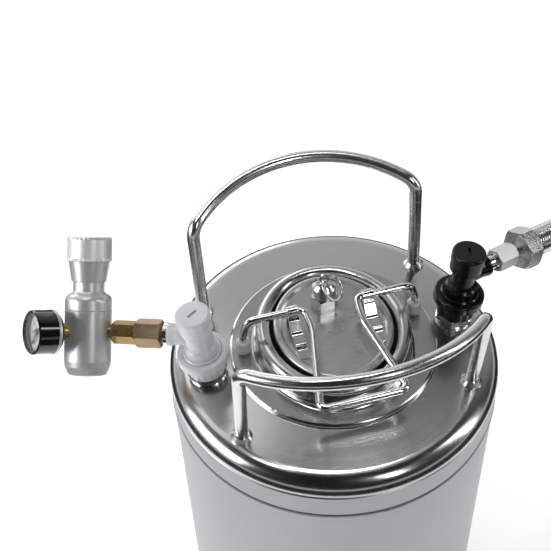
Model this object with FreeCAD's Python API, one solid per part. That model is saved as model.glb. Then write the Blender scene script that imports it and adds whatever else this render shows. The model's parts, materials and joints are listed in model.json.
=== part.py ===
import FreeCAD
import Part
import math
import os

# A 9.5 litre ball lock soda keg with its lid, bail, relief valve, two posts, the
# two quick disconnects on them, a mini CO2 regulator and a tap shank.
# Millimetres, +Z up. The origin is the centre of the ring that the keg stands on.
# +X is the liquid side, -X the gas side, -Y the side of the bail's lever.

Vector = FreeCAD.Vector
Placement = FreeCAD.Placement

# ---- fits and clearances -------------------------------------------------------
running_fit = 0.08          # radial, a part that turns or slides in another
loose_gap = 0.3             # between pieces that move past each other
seal_gap = 0.2              # a seal that a moving part presses on

# ---- vessel --------------------------------------------------------------------
shell_radius = 108.0
sheet = 1.5                 # steel sheet of the vessel and the lid
shell_height = 263.0        # straight cylinder
skirt_height = 22.0         # stand ring below the cylinder
skirt_tuck = 6.0            # stand ring's top, slipped inside the cylinder
skirt_curl = 2.4            # radius of the rolled foot
head_shoulder = 12.0        # radius of the top head's shoulder
head_rise = 1.5             # slope of the top head, shoulder to step
step_radius = 68.0          # foot of the step round the plateau
step_height = 3.0
bottom_dish = 16.0          # depth of the bottom head
seam_width = 2.0            # groove where the cylinder meets the top head
seam_depth = 1.0
hoop_drop = 22.0            # swaged hoop below the seam
hoop_width = 6.0
hoop_proud = 0.6

# ---- mouth and lid: both follow one four-arc oval --------------------------------
mouth_half_x = 40.0         # opening, half size along X
mouth_half_y = 45.5         # opening, half size along Y
mouth_end_radius = 36.0     # radius of the oval's two end arcs
lip_width = 10.0            # rolled lip round the mouth
lip_height = 16.5           # lip above the plateau
lip_foot = 3.0              # blend of the lip into the plateau
lid_gap = 1.7               # lid's raised centre to the lip
lid_flange = 5.0            # flange under the lip, outside the opening's edge
lid_dish = 1.5              # lid's floor below its edge band
lid_band = 4.0              # width of the edge band
gasket_wire = 5.6           # thickness of the oval ring seal

# ---- handles -------------------------------------------------------------------
handle_tube = 8.3
handle_foot_inset = 16.8    # foot to the shell's side
handle_foot_angle = 34.77   # degrees from X
handle_lean = 8.2           # a leg's outward run from foot to top, along Y
handle_leg = 71.0           # height of a leg above the vessel's shoulder line
handle_bow = 33.2           # how far the bar bows out past the legs
handle_arch = 11.4          # how far the bar's middle stands above its ends
handle_corner = 8.0         # straight length that a corner bend takes up
weld_bead = 2.6

# ---- bail ----------------------------------------------------------------------
bail_wire = 5.0
pivot_y = 7.5
pivot_rise = 12.0           # pivot line above the lid's edge band
bail_foot_out = 8.0         # foot to the mouth's lip
bail_corner_in = 3.5        # corner inside the foot
bail_neck_x = 17.0          # where the wire turns forward, inside the brackets
bail_kink_x = 16.0
bail_kink_y = -8.0
lever_end_x = 28.0
lever_reach = 19.0          # front bar past the mouth's front edge
lever_drop = 9.0            # lever's front bar below the pivot
bail_bend = 5.0
foot_cap = 9.0              # diameter of the plastic foot
foot_cap_height = 12.0
foot_cap_floor = 3.0
foot_cap_round = 3.2
bracket_inset = 9.3         # bracket to the lid's edge band
bracket_width = 7.0
bracket_sheet = 1.4
bracket_front_y = -22.0
bracket_step_y = -7.0
bracket_step = 2.6          # height of the raised part of the foot strip

# ---- relief valve ----------------------------------------------------------------
relief_y = 20.0
relief_hex = 16.0
relief_hex_height = 9.5
relief_thread = 10.0
relief_below = 9.0          # thread below the lid's floor
relief_chamber = 10.4
relief_seat_bore = 5.0
relief_cap = 15.5
relief_cap_height = 10.5
relief_cap_chamfer = 2.6
relief_stem = 3.6
relief_disc = 8.8
relief_nut = 16.0
relief_nut_height = 4.0
eye_radius = 3.2
eye_hole = 1.3
eye_thickness = 2.2
ring_radius = 8.4           # pull ring, to the middle of its wire
ring_wire = 1.6
ring_slope = 47.0           # degrees below level at rest
ring_turn = -38.0           # degrees from +X, seen from above

# ---- posts: heights are measured up the post from the head -----------------------
post_inset = 24.5           # post to the shell's side
post_lean = 5.5             # degrees outward
socket_radius = 12.0
socket_flange = 1.6
spud_radius = 7.5
spud_top = 9.0
spud_bore = 4.6
spud_below = 5.0
post_hex_rim = 1.0          # hexagon past the shoulder
post_hex_top = 6.2
post_shoulder_step = 1.7    # shoulder past the barrel, radial
post_shoulder_top = 8.8
post_barrel = 8.3           # radius
post_top = 28.6
post_chamber = 5.4
post_mouth = 3.2
post_cone = 3.0
groove_height = 13.0
groove_width = 4.2
post_seal_height = 24.2
seal_wire = 1.8
seal_proud = 0.05           # post seal beyond the barrel, inside the running fit
dip_tube_radius = 3.97
dip_tube_wall = 0.6
dip_flange = 6.1
dip_flange_thick = 1.3
gas_dip_length = 34.0       # below the head
liquid_dip_floor = 9.0      # tube's end above the bottom head's lowest point
poppet_radius = 4.4
poppet_stem = 1.9
poppet_tip = 26.4           # top of the poppet while a disconnect holds it open
poppet_head = 21.0
poppet_depth = 3.4
valve_stroke = 1.0

# ---- quick disconnects: heights up the same line ---------------------------------
skirt_bottom = 6.9
barrel_bottom = 9.6
barrel_wall = 1.95
barrel_roof = 30.0
barrel_top = 32.2
ball = 3.2
ball_count = 4
collar_wall = 1.89          # of the knurled skirt
collar_rim_wall = 3.6
collar_rim_bottom = 17.5
collar_top = 24.4
collar_floor = 15.4
collar_travel = 3.0
collar_notches = 18
collar_notch = 0.7
flange_step = 2.17          # flange past the barrel, radial
flange_bottom = 22.8
flange_top = 25.6
shoulder_step = 0.07
head_bottom = 45.0
head_top = 54.0
cap_step = 0.5              # cap past the head, radial
cap_top = 60.2
cap_plug = 6.5
cap_plug_length = 5.5
slot_width = 1.8
slot_length = 7.0
slot_depth = 1.6
chamber_radius = 4.9
pin_radius = 1.9
pin_head = 4.4
pin_head_height = 3.0
pin_head_bottom = 35.0
gas_neck = 9.0
liquid_neck = 7.5
arm_height = 39.2
arm_radius = 6.5
arm_flare = 7.2
arm_length = 18.5
arm_bore = 3.2
gas_arm_turn = 24.0         # degrees from straight out, towards +Y
liquid_arm_turn = 18.0
stem_thread = 5.5           # flare stem's threaded end, radius
stem_length = 9.0
gas_stem_collar = 4.0
liquid_stem_collar = 7.0
stem_nut_gap = 0.4
stem_bore = 2.4
gas_stem_flare = 7.2
liquid_stem_flare = 4.6

# ---- regulator: its own axis crosses the arm's line -------------------------------
regulator_roll = 47.0       # degrees back from upright
regulator_radius = 14.7
outlet_up = 27.4            # outlet above the regulator's bottom
shoulder_up = 51.0
shoulder_round = 5.0
body_taper = 2.4
body_taper_height = 8.7
body_wall = 3.2
joint_line_up = 40.4        # joint of bonnet and body
joint_groove = 0.35
neck_radius = 9.8
neck_top = 58.0
cone_bottom_radius = 10.8
cone_top_radius = 12.9
cone_top = 71.0
knob_radius = 13.9
knob_height = 14.6
knob_notches = 24
knob_notch = 0.5
spindle_radius = 3.0
spindle_pitch = 1.25
plate_radius = 8.4
plate_thick = 2.0
plate_up = 49.0
knob_turns = 2
diaphragm_up = 41.4
cartridge_bore = 4.76       # socket for a threaded gas cartridge
cartridge_depth = 10.0
lance_recess = 4.1
lance_recess_depth = 5.0
lance_radius = 1.4
lance_length = 4.4
outlet_neck = 4.4
outlet_hex = 13.0
outlet_hex_length = 15.0
outlet_nose = 4.0
nut_hex = 16.0
nut_length = 16.0
outlet_neck_length = 2.3    # bare neck between the hexagon and the body
# post line to regulator axis, along the arm
regulator_reach = (arm_length + gas_stem_collar + stem_nut_gap + nut_length + loose_gap
                   + outlet_hex_length + outlet_neck_length + regulator_radius)
gauge_turn = 47.0           # degrees round the regulator from straight out
gauge_stem_radius = 4.0
gauge_stem_length = 8.5
gauge_radius = 13.6
gauge_depth = 17.0
gauge_wall = 1.2
gauge_back = 2.2
dial_depth = 5.0            # dial plate below the rim
needle_length = 8.6
needle_width = 1.0

# ---- tap shank on the liquid side -------------------------------------------------
tail_hex = 14.0
tail_hex_length = 15.0
shank_hex = 25.0
shank_hex_length = 11.0
shank_gap = 5.0
shank_radius = 9.6
shank_length = 34.0
shank_pitch = 1.81
shank_thread_depth = 0.9
shank_bore = 3.2

# ---- heights and lines that follow from the sizes above ---------------------------
rim_z = skirt_height + shell_height
head_z = rim_z + head_shoulder
plateau_z = head_z + head_rise + step_height
step_in = step_radius - 4.0
lip_z = plateau_z + lip_height
lid_z = lip_z
lid_floor_z = lid_z - lid_dish
lip_bead = lip_width / 2
lip_curl_z = lip_z - lip_bead - sheet
gasket_z = lip_curl_z - seal_gap - gasket_wire / 2
flange_z = gasket_z - gasket_wire / 2
pivot_z = lid_z + pivot_rise
wire = bail_wire / 2
foot_z = plateau_z + loose_gap
inside_radius = shell_radius - sheet
bottom_z = skirt_height + skirt_tuck + 2.0
bottom_low_z = bottom_z - bottom_dish
tube = handle_tube / 2
foot_line = shell_radius - handle_foot_inset
handle_foot_x = foot_line * math.cos(math.radians(handle_foot_angle))
handle_foot_y = foot_line * math.sin(math.radians(handle_foot_angle))
post_x = shell_radius - post_inset
bail_foot_x = mouth_half_x + lip_width + bail_foot_out
bail_corner_x = bail_foot_x - bail_corner_in
lever_end_y = -mouth_half_y - lever_reach
bracket_x = mouth_half_x - lid_gap - lid_band - bracket_inset
plate_travel = knob_turns * spindle_pitch
post_shoulder = post_barrel + post_shoulder_step
post_hex = 2 * (post_shoulder + post_hex_rim)
barrel_outer = post_barrel + running_fit + barrel_wall
ball_line = barrel_outer - ball / 2
groove_radius = ball_line - ball / 2 - running_fit
collar_bore = barrel_outer + running_fit
collar_skirt = collar_bore + collar_wall
flange_radius = barrel_outer + flange_step
collar_rim = flange_radius + loose_gap + collar_rim_wall
shoulder_radius = barrel_outer + shoulder_step
head_radius = shoulder_radius
cap_radius = head_radius + cap_step
side_radius = ((mouth_half_x ** 2 + (mouth_half_y - mouth_end_radius) ** 2 - mouth_end_radius ** 2)
               / (2 * (mouth_half_x - mouth_end_radius)))
end_centre = mouth_half_y - mouth_end_radius
side_centre = side_radius - mouth_half_x
oval_angle = math.degrees(math.atan2(end_centre, side_centre))


# ---- outlines and simple solids ---------------------------------------------------
def bend(x, z, radius, start, end):
    """One arc step of an outline: its middle and end, angles in degrees."""
    middle = math.radians((start + end) / 2)
    last = math.radians(end)
    return ((x + radius * math.cos(middle), z + radius * math.sin(middle)),
            (x + radius * math.cos(last), z + radius * math.sin(last)))


def outline(start, *steps):
    """Closed wire in the XZ plane; a step is a point, or an arc from bend()."""
    here = Vector(start[0], 0, start[1])
    first = here
    edges = []
    for step in steps:
        if isinstance(step[0], tuple):
            middle = Vector(step[0][0], 0, step[0][1])
            there = Vector(step[1][0], 0, step[1][1])
            edges.append(Part.Arc(here, middle, there).toShape())
        else:
            there = Vector(step[0], 0, step[1])
            if there.distanceToPoint(here) < 1e-6:
                continue
            edges.append(Part.LineSegment(here, there).toShape())
        here = there
    if here.distanceToPoint(first) > 1e-6:
        edges.append(Part.LineSegment(here, first).toShape())
    return Part.Wire(edges)


def lathe(start, *steps):
    """Solid of revolution about Z from an outline of (radius, height)."""
    return Part.Face(outline(start, *steps)).revolve(Vector(0, 0, 0), Vector(0, 0, 1), 360)


def rod(radius, low, high):
    """Solid cylinder on Z."""
    return Part.makeCylinder(radius, high - low, Vector(0, 0, low))


def ring(inner, outer, low, high):
    """Tube on Z between two heights."""
    return lathe((inner, low), (outer, low), (outer, high), (inner, high))


def torus(radius, wire_radius, height):
    """Ring of round wire about Z."""
    return Part.makeTorus(radius, wire_radius, Vector(0, 0, height))


def prism(across_flats, low, high, chamfer=0.6):
    """Hexagonal bar with turned corners."""
    corner = across_flats / math.sqrt(3)
    points = [Vector(corner * math.cos(math.radians(60 * i)), corner * math.sin(math.radians(60 * i)), low)
              for i in range(7)]
    bar = Part.Face(Part.makePolygon(points)).extrude(Vector(0, 0, high - low))
    turned = lathe((0, low), (corner - chamfer, low), (corner, low + chamfer),
                   (corner, high - chamfer), (corner - chamfer, high), (0, high))
    return bar.common(turned)


def coil(radius, wire_radius, low, high, turns):
    """Helical spring; each half turn is one tilted arc."""
    step = (high - low - 2 * wire_radius) / (2 * turns)
    edges = []
    side = 1
    z = low + wire_radius
    for _ in range(2 * turns):
        edges.append(Part.Arc(Vector(side * radius, 0, z), Vector(0, side * radius, z + step / 2),
                              Vector(-side * radius, 0, z + step)).toShape())
        side = -side
        z += step
    return pipe(Part.Wire(edges), wire_radius)


def rounded_path(points, setbacks):
    """Straight runs joined by tangent arcs; a setback is a corner's length along each run."""
    here = points[0]
    edges = []
    for i, setback in enumerate(setbacks, start=1):
        before = (points[i - 1] - points[i]).normalize()
        after = (points[i + 1] - points[i]).normalize()
        start = points[i] + before * setback
        end = points[i] + after * setback
        half = before.getAngle(after) / 2
        inward = (before + after).normalize()
        depth = setback / math.cos(half) - setback * math.tan(half)
        if start.distanceToPoint(here) > 1e-6:
            edges.append(Part.LineSegment(here, start).toShape())
        edges.append(Part.Arc(start, points[i] + inward * depth, end).toShape())
        here = end
    edges.append(Part.LineSegment(here, points[-1]).toShape())
    return Part.Wire(edges)


def pipe(path, radius):
    """Round bar along a path."""
    first = path.Edges[0]
    start = first.valueAt(first.FirstParameter)
    along = first.tangentAt(first.FirstParameter)
    section = Part.Wire([Part.Circle(start, along, radius).toShape()])
    return path.makePipeShell([section], True, False)


def placed(shape, frame):
    """Copy of a shape moved into a frame."""
    copy = shape.copy()
    copy.Placement = frame.multiply(copy.Placement)
    return copy


def mirrored_x(shape):
    """Copy of a shape on the other side of X = 0."""
    return shape.mirror(Vector(0, 0, 0), Vector(1, 0, 0))


def mirrored_y(shape):
    """Copy of a shape on the other side of Y = 0."""
    return shape.mirror(Vector(0, 0, 0), Vector(0, 1, 0))


def around(shape, count, turn=0.0):
    """Copies of a shape spaced evenly about Z."""
    copies = []
    for i in range(count):
        copy = shape.copy()
        copy.rotate(Vector(0, 0, 0), Vector(0, 0, 1), turn + 360.0 * i / count)
        copies.append(copy)
    return copies


def export(name, shape):
    """Write one named piece."""
    shape.exportStep("parts/" + name + ".step")


# ---- the oval that the mouth, the seal and the lid share ---------------------------
def oval_arcs():
    """Centre, radius, first angle and last angle of the oval's four arcs."""
    return [(side_centre * -1, 0.0, side_radius, -oval_angle, oval_angle),
            (0.0, end_centre, mouth_end_radius, oval_angle, 180 - oval_angle),
            (side_centre, 0.0, side_radius, 180 - oval_angle, 180 + oval_angle),
            (0.0, -end_centre, mouth_end_radius, 180 + oval_angle, 360 - oval_angle)]


def oval_slab(offset, low, high):
    """Plate whose edge lies at an offset outside the mouth's edge."""
    edges = []
    for x, y, radius, first, last in oval_arcs():
        points = []
        for angle in (first, (first + last) / 2, last):
            turn = math.radians(angle)
            points.append(Vector(x + (radius + offset) * math.cos(turn), y + (radius + offset) * math.sin(turn), low))
        edges.append(Part.Arc(*points).toShape())
    return Part.Face(Part.Wire(edges)).extrude(Vector(0, 0, high - low))


def oval_lathe(start, *steps):
    """Outline of (offset from the mouth's edge, height) carried round the oval."""
    section = outline(start, *steps)
    pieces = []
    for x, y, radius, first, last in oval_arcs():
        face = Part.Face(section)
        face.translate(Vector(radius, 0, 0))
        piece = face.revolve(Vector(0, 0, 0), Vector(0, 0, 1), last - first)
        piece.rotate(Vector(0, 0, 0), Vector(0, 0, 1), first)
        piece.translate(Vector(x, y, 0))
        pieces.append(piece)
    return pieces[0].multiFuse(pieces[1:]).removeSplitter()


# ---- vessel -------------------------------------------------------------------------
def make_shell():
    """Cylinder with a swaged hoop and the groove of the seam at its top."""
    hoop_z = rim_z - hoop_drop
    hoop_rise = hoop_proud * 0.7
    return lathe((inside_radius, skirt_height), (shell_radius, skirt_height),
                 (shell_radius, hoop_z - hoop_width / 2),
                 ((shell_radius + hoop_rise, hoop_z - hoop_width / 4), (shell_radius + hoop_proud, hoop_z)),
                 ((shell_radius + hoop_rise, hoop_z + hoop_width / 4), (shell_radius, hoop_z + hoop_width / 2)),
                 (shell_radius, rim_z - seam_width), (shell_radius - seam_depth, rim_z - seam_width * 0.6),
                 (shell_radius - seam_depth, rim_z), (inside_radius, rim_z))


def head_surface(shift):
    """Outline steps of the top head from the rim to the plateau, shifted inward by a wall."""
    x = shell_radius - head_shoulder
    slope = math.degrees(math.atan2(head_rise, x - step_radius))
    foot_z = head_z + head_rise
    wall_x = step_in + 2.0
    return [(shell_radius - shift, rim_z),
            bend(x, rim_z, head_shoulder - shift, 0, 90 - slope),
            (step_radius, foot_z - shift),
            bend_between(step_radius, foot_z - shift, wall_x, plateau_z - shift),
            (step_in - 3.0, plateau_z - shift)]


def bend_between(x0, z0, x1, z1):
    """Shallow arc step from one point to another, bowed upward."""
    bow = (z1 - z0) * 0.12
    return ((x0 + x1) / 2 + bow, (z0 + z1) / 2 + bow), (x1, z1)


def make_top_dome():
    """Pressed top head: shoulder, step, plateau and the rolled lip of the mouth."""
    outside = head_surface(0.0)
    inside = head_surface(sheet)
    hollow = lathe((0, rim_z), inside[0], *inside[1:], (0, plateau_z - sheet))
    solid = lathe((0, rim_z), outside[0], *outside[1:], (0, plateau_z))
    skin = solid.cut(hollow)
    foot = lip_width + lip_foot
    skin = skin.cut(oval_slab(foot, plateau_z - 2 * sheet, plateau_z + sheet))
    bead_z = lip_z - lip_bead
    lip = oval_lathe((foot, plateau_z),
                     bend(foot, plateau_z + lip_foot, lip_foot, 270, 180),
                     (lip_width, bead_z),
                     bend(lip_bead, bead_z, lip_bead, 0, 180),
                     (0.0, lip_curl_z),
                     (sheet, lip_curl_z),
                     (sheet, bead_z),
                     bend(lip_bead, bead_z, lip_bead - sheet, 180, 0),
                     (lip_width - sheet, plateau_z + lip_foot),
                     bend(foot, plateau_z + lip_foot, lip_foot + sheet, 180, 270))
    dome = skin.fuse(lip).removeSplitter()
    for side in (-1, 1):
        bore = placed(rod(spud_radius, -2 * spud_below, spud_top), post_frame(side))
        dome = dome.cut(bore)
    return dome


def make_bottom_dome():
    """Dished bottom head, its turned-up edge inside the cylinder."""
    half = inside_radius
    ball_radius = (half ** 2 + bottom_dish ** 2) / (2 * bottom_dish)
    ball_inner = ball_radius - sheet
    ball_centre = bottom_low_z + ball_radius
    outer = Part.makeSphere(ball_radius, Vector(0, 0, ball_centre))
    inner = Part.makeSphere(ball_inner, Vector(0, 0, ball_centre))
    disc = rod(half - 0.05, bottom_low_z - 1, bottom_z)
    return outer.common(disc).cut(inner)


def make_base_skirt():
    """Stand ring with a rolled foot; its top slips inside the cylinder."""
    top = skirt_height + skirt_tuck
    outer = inside_radius
    inner = outer - sheet
    curl_x = inner - skirt_curl + sheet
    return lathe((outer, top), (inner, top), (inner, skirt_curl),
                 bend(curl_x, skirt_curl, skirt_curl - sheet, 0, -90),
                 (curl_x - 3.0, skirt_curl - (skirt_curl - sheet)),
                 (curl_x - 3.0, 0.0),
                 (curl_x, 0.0),
                 bend(curl_x, skirt_curl, skirt_curl, -90, 0))


def handle_leg_points():
    """Foot and top corner of the leg at +X on the +Y side, and the bar's middle."""
    foot = Vector(handle_foot_x, handle_foot_y, rim_z)
    top = Vector(handle_foot_x, handle_foot_y + handle_lean, rim_z + head_shoulder + handle_leg)
    middle = Vector(0, top.y + handle_bow, top.z + handle_arch)
    return foot, top, middle


def make_handle():
    """Bent tube handle on the +Y side: two legs and a bowed, arched bar."""
    foot, top, middle = handle_leg_points()
    drop = math.hypot(handle_bow, handle_arch)
    touch = (top.x ** 2 + drop ** 2 - handle_corner ** 2) / (2 * (top.x + handle_corner))
    apex = Vector(touch, middle.y, middle.z)
    points = [foot, top, apex]
    flipped = [Vector(-p.x, p.y, p.z) for p in reversed(points)]
    path = rounded_path(points + flipped, [handle_corner, touch, touch, handle_corner])
    return pipe(path, tube)


def make_weld_beads():
    """Fillet beads round the two feet of the handle on the +Y side."""
    foot, top, _ = handle_leg_points()
    along = (top - foot).normalize()
    lean = Placement(foot, FreeCAD.Rotation(Vector(0, 0, 1), along))
    base = head_shoulder * 0.75
    bead = lathe((tube, base), (tube + weld_bead + 0.6, base), (tube + weld_bead, head_shoulder + 1.5),
                 (tube + 0.8, head_shoulder + 1.5 + weld_bead), (tube, head_shoulder + 1.5 + weld_bead))
    bead = placed(bead, lean)
    return [bead, mirrored_x(bead)]


# ---- frames of the tilted pieces ----------------------------------------------------
def frame_of(origin, x_axis, z_axis):
    """Frame with its X and Z axes along two directions."""
    return Placement(origin, FreeCAD.Rotation(x_axis, z_axis.cross(x_axis), z_axis, "ZXY"))


def post_frame(side, turn=0.0):
    """Frame on a post: Z up the post, X straight out, turned towards +Y."""
    lean = math.radians(post_lean)
    z_axis = Vector(side * math.sin(lean), 0, math.cos(lean))
    out = Vector(side * math.cos(lean), 0, -math.sin(lean))
    angle = math.radians(turn)
    x_axis = out * math.cos(angle) + Vector(0, 1, 0) * math.sin(angle)
    return frame_of(Vector(side * post_x, 0, head_z + post_foot_rise()), x_axis, z_axis)


def post_foot_rise():
    """Height of the sloping head at the post, above its outer edge."""
    run = shell_radius - head_shoulder - step_radius
    return head_rise * (shell_radius - head_shoulder - post_x) / run


def arm_frame(side):
    """Frame on an arm: origin on the post's line, Z out along the arm, X up the post."""
    turn = gas_arm_turn if side < 0 else liquid_arm_turn
    post = post_frame(side, turn)
    out = post.Rotation.multVec(Vector(1, 0, 0))
    up = post.Rotation.multVec(Vector(0, 0, 1))
    return frame_of(post.multVec(Vector(0, 0, arm_height)), up, out)


def regulator_frame():
    """Frame on the regulator: origin at its outlet, Z to the knob, X away from the keg."""
    arm = arm_frame(-1)
    out = arm.Rotation.multVec(Vector(0, 0, 1))
    up = arm.Rotation.multVec(Vector(1, 0, 0))
    roll = math.radians(regulator_roll)
    z_axis = up * math.cos(roll) + out.cross(up) * math.sin(roll)
    return frame_of(arm.multVec(Vector(0, 0, regulator_reach)), out, z_axis)


def gauge_frame():
    """Frame on the gauge: origin on the regulator's axis, Z out through the dial."""
    base = regulator_frame()
    angle = math.radians(gauge_turn)
    out = base.Rotation.multVec(Vector(math.cos(angle), math.sin(angle), 0))
    up = base.Rotation.multVec(Vector(0, 0, 1))
    return frame_of(base.multVec(Vector(0, 0, 0)), up, out)


def relief_frame():
    """Frame on the relief valve: origin on the lid's floor, Z up."""
    return Placement(Vector(0, relief_y, lid_floor_z), FreeCAD.Rotation())


def ring_frame():
    """Frame on the pull ring: origin in the eye, X towards the ring's middle, Z its axis."""
    turn = math.radians(ring_turn)
    slope = math.radians(ring_slope)
    flat = Vector(math.cos(turn), math.sin(turn), 0)
    x_axis = flat * math.cos(slope) - Vector(0, 0, 1) * math.sin(slope)
    side = Vector(-math.sin(turn), math.cos(turn), 0)
    z_axis = x_axis.cross(side)
    return frame_of(Vector(0, relief_y, lid_floor_z + eye_centre()), x_axis, z_axis)


# ---- lid, bail and relief valve --------------------------------------------------------
def make_lid():
    """Oval pressed lid: flange for the seal, wall, edge band and dished floor."""
    band = -lid_gap - lid_band
    corner = 2.0
    wall = -lid_gap
    rim = oval_lathe((lid_flange, flange_z), (wall, flange_z), (wall, lid_z - corner),
                     bend(wall - corner, lid_z - corner, corner, 0, 90),
                     (band, lid_z),
                     (band - lid_dish, lid_floor_z),
                     (band - lid_dish - 1.0, lid_floor_z),
                     (band - lid_dish - 1.0, lid_floor_z - sheet),
                     (band - lid_dish, lid_floor_z - sheet),
                     (band, lid_z - sheet),
                     (wall - corner, lid_z - sheet),
                     bend(wall - corner, lid_z - corner, corner - sheet, 90, 0),
                     (wall - sheet, flange_z - sheet),
                     (lid_flange, flange_z - sheet))
    floor = oval_slab(band - lid_dish - 1.0, lid_floor_z - sheet, lid_floor_z)
    plate = rim.fuse(floor).removeSplitter()
    bore = rod(relief_thread / 2, -2 * sheet, sheet)
    return plate.cut(placed(bore, relief_frame()))


def make_lid_gasket():
    """Oval ring seal on the lid's flange."""
    half = gasket_wire / 2
    return oval_lathe((half - lid_gap + seal_gap + half, gasket_z),
                      bend(half - lid_gap + seal_gap, gasket_z, half, 0, 180),
                      bend(half - lid_gap + seal_gap, gasket_z, half, 180, 360))


def lever_z(y):
    """Height of the lever's plane, which falls from the pivot to the front bar."""
    return pivot_z - lever_drop * (pivot_y - y) / (pivot_y - lever_end_y)


def bail_points():
    """Left half of the bail's path, foot to front corner."""
    return [Vector(-bail_foot_x, pivot_y, foot_z + foot_cap_floor),
            Vector(-bail_foot_x, pivot_y, foot_z + foot_cap_height + 4.0),
            Vector(-bail_corner_x, pivot_y, pivot_z),
            Vector(-bail_neck_x, pivot_y, pivot_z),
            Vector(-bail_kink_x, bail_kink_y, lever_z(bail_kink_y)),
            Vector(-lever_end_x, lever_end_y, lever_z(lever_end_y))]


def make_bail_wire():
    """One bent wire: two feet, two pivot runs and the lever loop."""
    left = bail_points()
    right = [Vector(-p.x, p.y, p.z) for p in reversed(left)]
    half = [3.0, bail_bend, bail_bend, bail_bend, bail_bend]
    return pipe(rounded_path(left + right, half + half[::-1]), wire)


def make_bail_feet():
    """Plastic caps pushed on the wire's ends."""
    radius = foot_cap / 2
    top = foot_z + foot_cap_height
    cap = lathe((0, foot_z), (radius - foot_cap_round, foot_z),
                bend(radius - foot_cap_round, foot_z + foot_cap_round, foot_cap_round, -90, 0), (radius, top - 1.2),
                (radius - 0.9, top), (wire, top), (wire, foot_z + foot_cap_floor),
                (0, foot_z + foot_cap_floor))
    cap.translate(Vector(bail_foot_x, pivot_y, 0))
    return [mirrored_x(cap), cap]


def make_bail_brackets():
    """Sheet strips spot-welded to the lid, rolled round the wire."""
    bore = wire + running_fit
    outer = bore + bracket_sheet
    half = bracket_sheet / 2
    low = lid_floor_z + half
    raised = low + bracket_step
    middle = pivot_z - bore - half
    eye = ring(bore, outer, -bracket_width / 2, bracket_width / 2)
    eye.rotate(Vector(0, 0, 0), Vector(0, 1, 0), 90)
    eye.translate(Vector(0, pivot_y, pivot_z))
    path = rounded_path([Vector(0, pivot_y + outer + 3.0, low),
                         Vector(0, pivot_y + outer - 1.0, low),
                         Vector(0, pivot_y + outer - 2.0, middle),
                         Vector(0, pivot_y - outer + 0.5, middle),
                         Vector(0, bracket_step_y + 4.0, raised),
                         Vector(0, bracket_step_y - 5.0, raised),
                         Vector(0, bracket_step_y - 7.0, low),
                         Vector(0, bracket_front_y, low)],
                        [1.2, 1.2, 1.5, 2.0, 0.8, 0.8])
    section = Part.makePolygon([Vector(-bracket_width / 2, path.Vertexes[0].Point.y, low - half),
                                Vector(bracket_width / 2, path.Vertexes[0].Point.y, low - half),
                                Vector(bracket_width / 2, path.Vertexes[0].Point.y, low + half),
                                Vector(-bracket_width / 2, path.Vertexes[0].Point.y, low + half),
                                Vector(-bracket_width / 2, path.Vertexes[0].Point.y, low - half)])
    strap = path.makePipeShell([section], True, False)
    hole = rod(bore, -bracket_width, bracket_width)
    hole.rotate(Vector(0, 0, 0), Vector(0, 1, 0), 90)
    hole.translate(Vector(0, pivot_y, pivot_z))
    bracket = eye.fuse(strap).cut(hole).removeSplitter()
    bracket.translate(Vector(bracket_x, 0, 0))
    return [mirrored_x(bracket), bracket]


def relief_seat():
    """Height of the valve seat above the lid's floor."""
    return -relief_below + 5.0


def eye_centre():
    """Height of the eye that carries the pull ring."""
    return relief_hex_height + relief_cap_height + eye_radius + loose_gap


def make_relief_body():
    """Threaded body with a hexagon on the lid, a seat bore and a spring chamber."""
    seat = relief_seat()
    thread = rod(relief_thread / 2, -relief_below, 0.5)
    head = prism(relief_hex, 0, relief_hex_height)
    bore = rod(relief_seat_bore / 2, -relief_below - 1, seat)
    chamber = rod(relief_thread / 2 - 1.2, seat, 1.0)
    wide = rod(relief_chamber / 2, 1.0, relief_hex_height + 1)
    return placed(head.fuse(thread).cut(bore).cut(chamber).cut(wide).removeSplitter(), relief_frame())


def make_relief_nut():
    """Lock nut under the lid."""
    nut = prism(relief_nut, -sheet - relief_nut_height, -sheet)
    return placed(nut.cut(rod(relief_thread / 2, -20, 5)), relief_frame())


def make_relief_cap():
    """Screwed cap that holds the spring down; the stem comes through it."""
    low = relief_hex_height
    high = low + relief_cap_height
    outer = relief_cap / 2
    bore = relief_stem / 2 + running_fit
    thread = relief_chamber / 2
    cap = lathe((bore, low + 4.5), (thread - 1.2, low + 4.5), (thread - 1.2, low - 4.0),
                (thread, low - 4.0), (thread, low), (outer, low), (outer, high - relief_cap_chamfer),
                (outer - relief_cap_chamfer, high), (bore, high))
    return placed(cap, relief_frame())


def relief_disc_bottom():
    """Height of the underside of the stem's disc."""
    return relief_seat() + seal_wire


def make_relief_seal():
    """Rubber washer under the stem's disc."""
    seat = relief_seat()
    return placed(ring(relief_stem / 2, 3.6, seat + 0.05, seat + seal_wire), relief_frame())


def make_relief_stem():
    """Pull stem: disc on the seal, rod through the cap, flat eye on top."""
    low = relief_disc_bottom()
    eye_z = eye_centre()
    disc = lathe((0, low - seal_wire + 0.3), (relief_stem / 2, low - seal_wire + 0.3), (relief_stem / 2, low),
                 (3.6, low), (3.6, low + 1.6), (relief_stem / 2, low + 1.6), (relief_stem / 2, eye_z - 1.0),
                 (0, eye_z - 1.0))
    eye = ring(eye_hole, eye_radius, -eye_thickness / 2, eye_thickness / 2)
    hole = rod(eye_hole, -eye_thickness * 2, eye_thickness * 2)
    side = Vector(-math.sin(math.radians(ring_turn)), math.cos(math.radians(ring_turn)), 0)
    turned = Placement(Vector(0, 0, eye_z), FreeCAD.Rotation(Vector(0, 0, 1), side))
    stem = disc.fuse(placed(eye, turned)).cut(placed(hole, turned)).removeSplitter()
    return placed(stem, relief_frame())


def make_relief_spring():
    """Coil that holds the stem's disc on its seat."""
    low = relief_disc_bottom() + 1.6
    high = relief_hex_height + 4.5
    return placed(coil(2.75, 0.4, low + 0.05, high - 0.05, 6), relief_frame())


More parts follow.
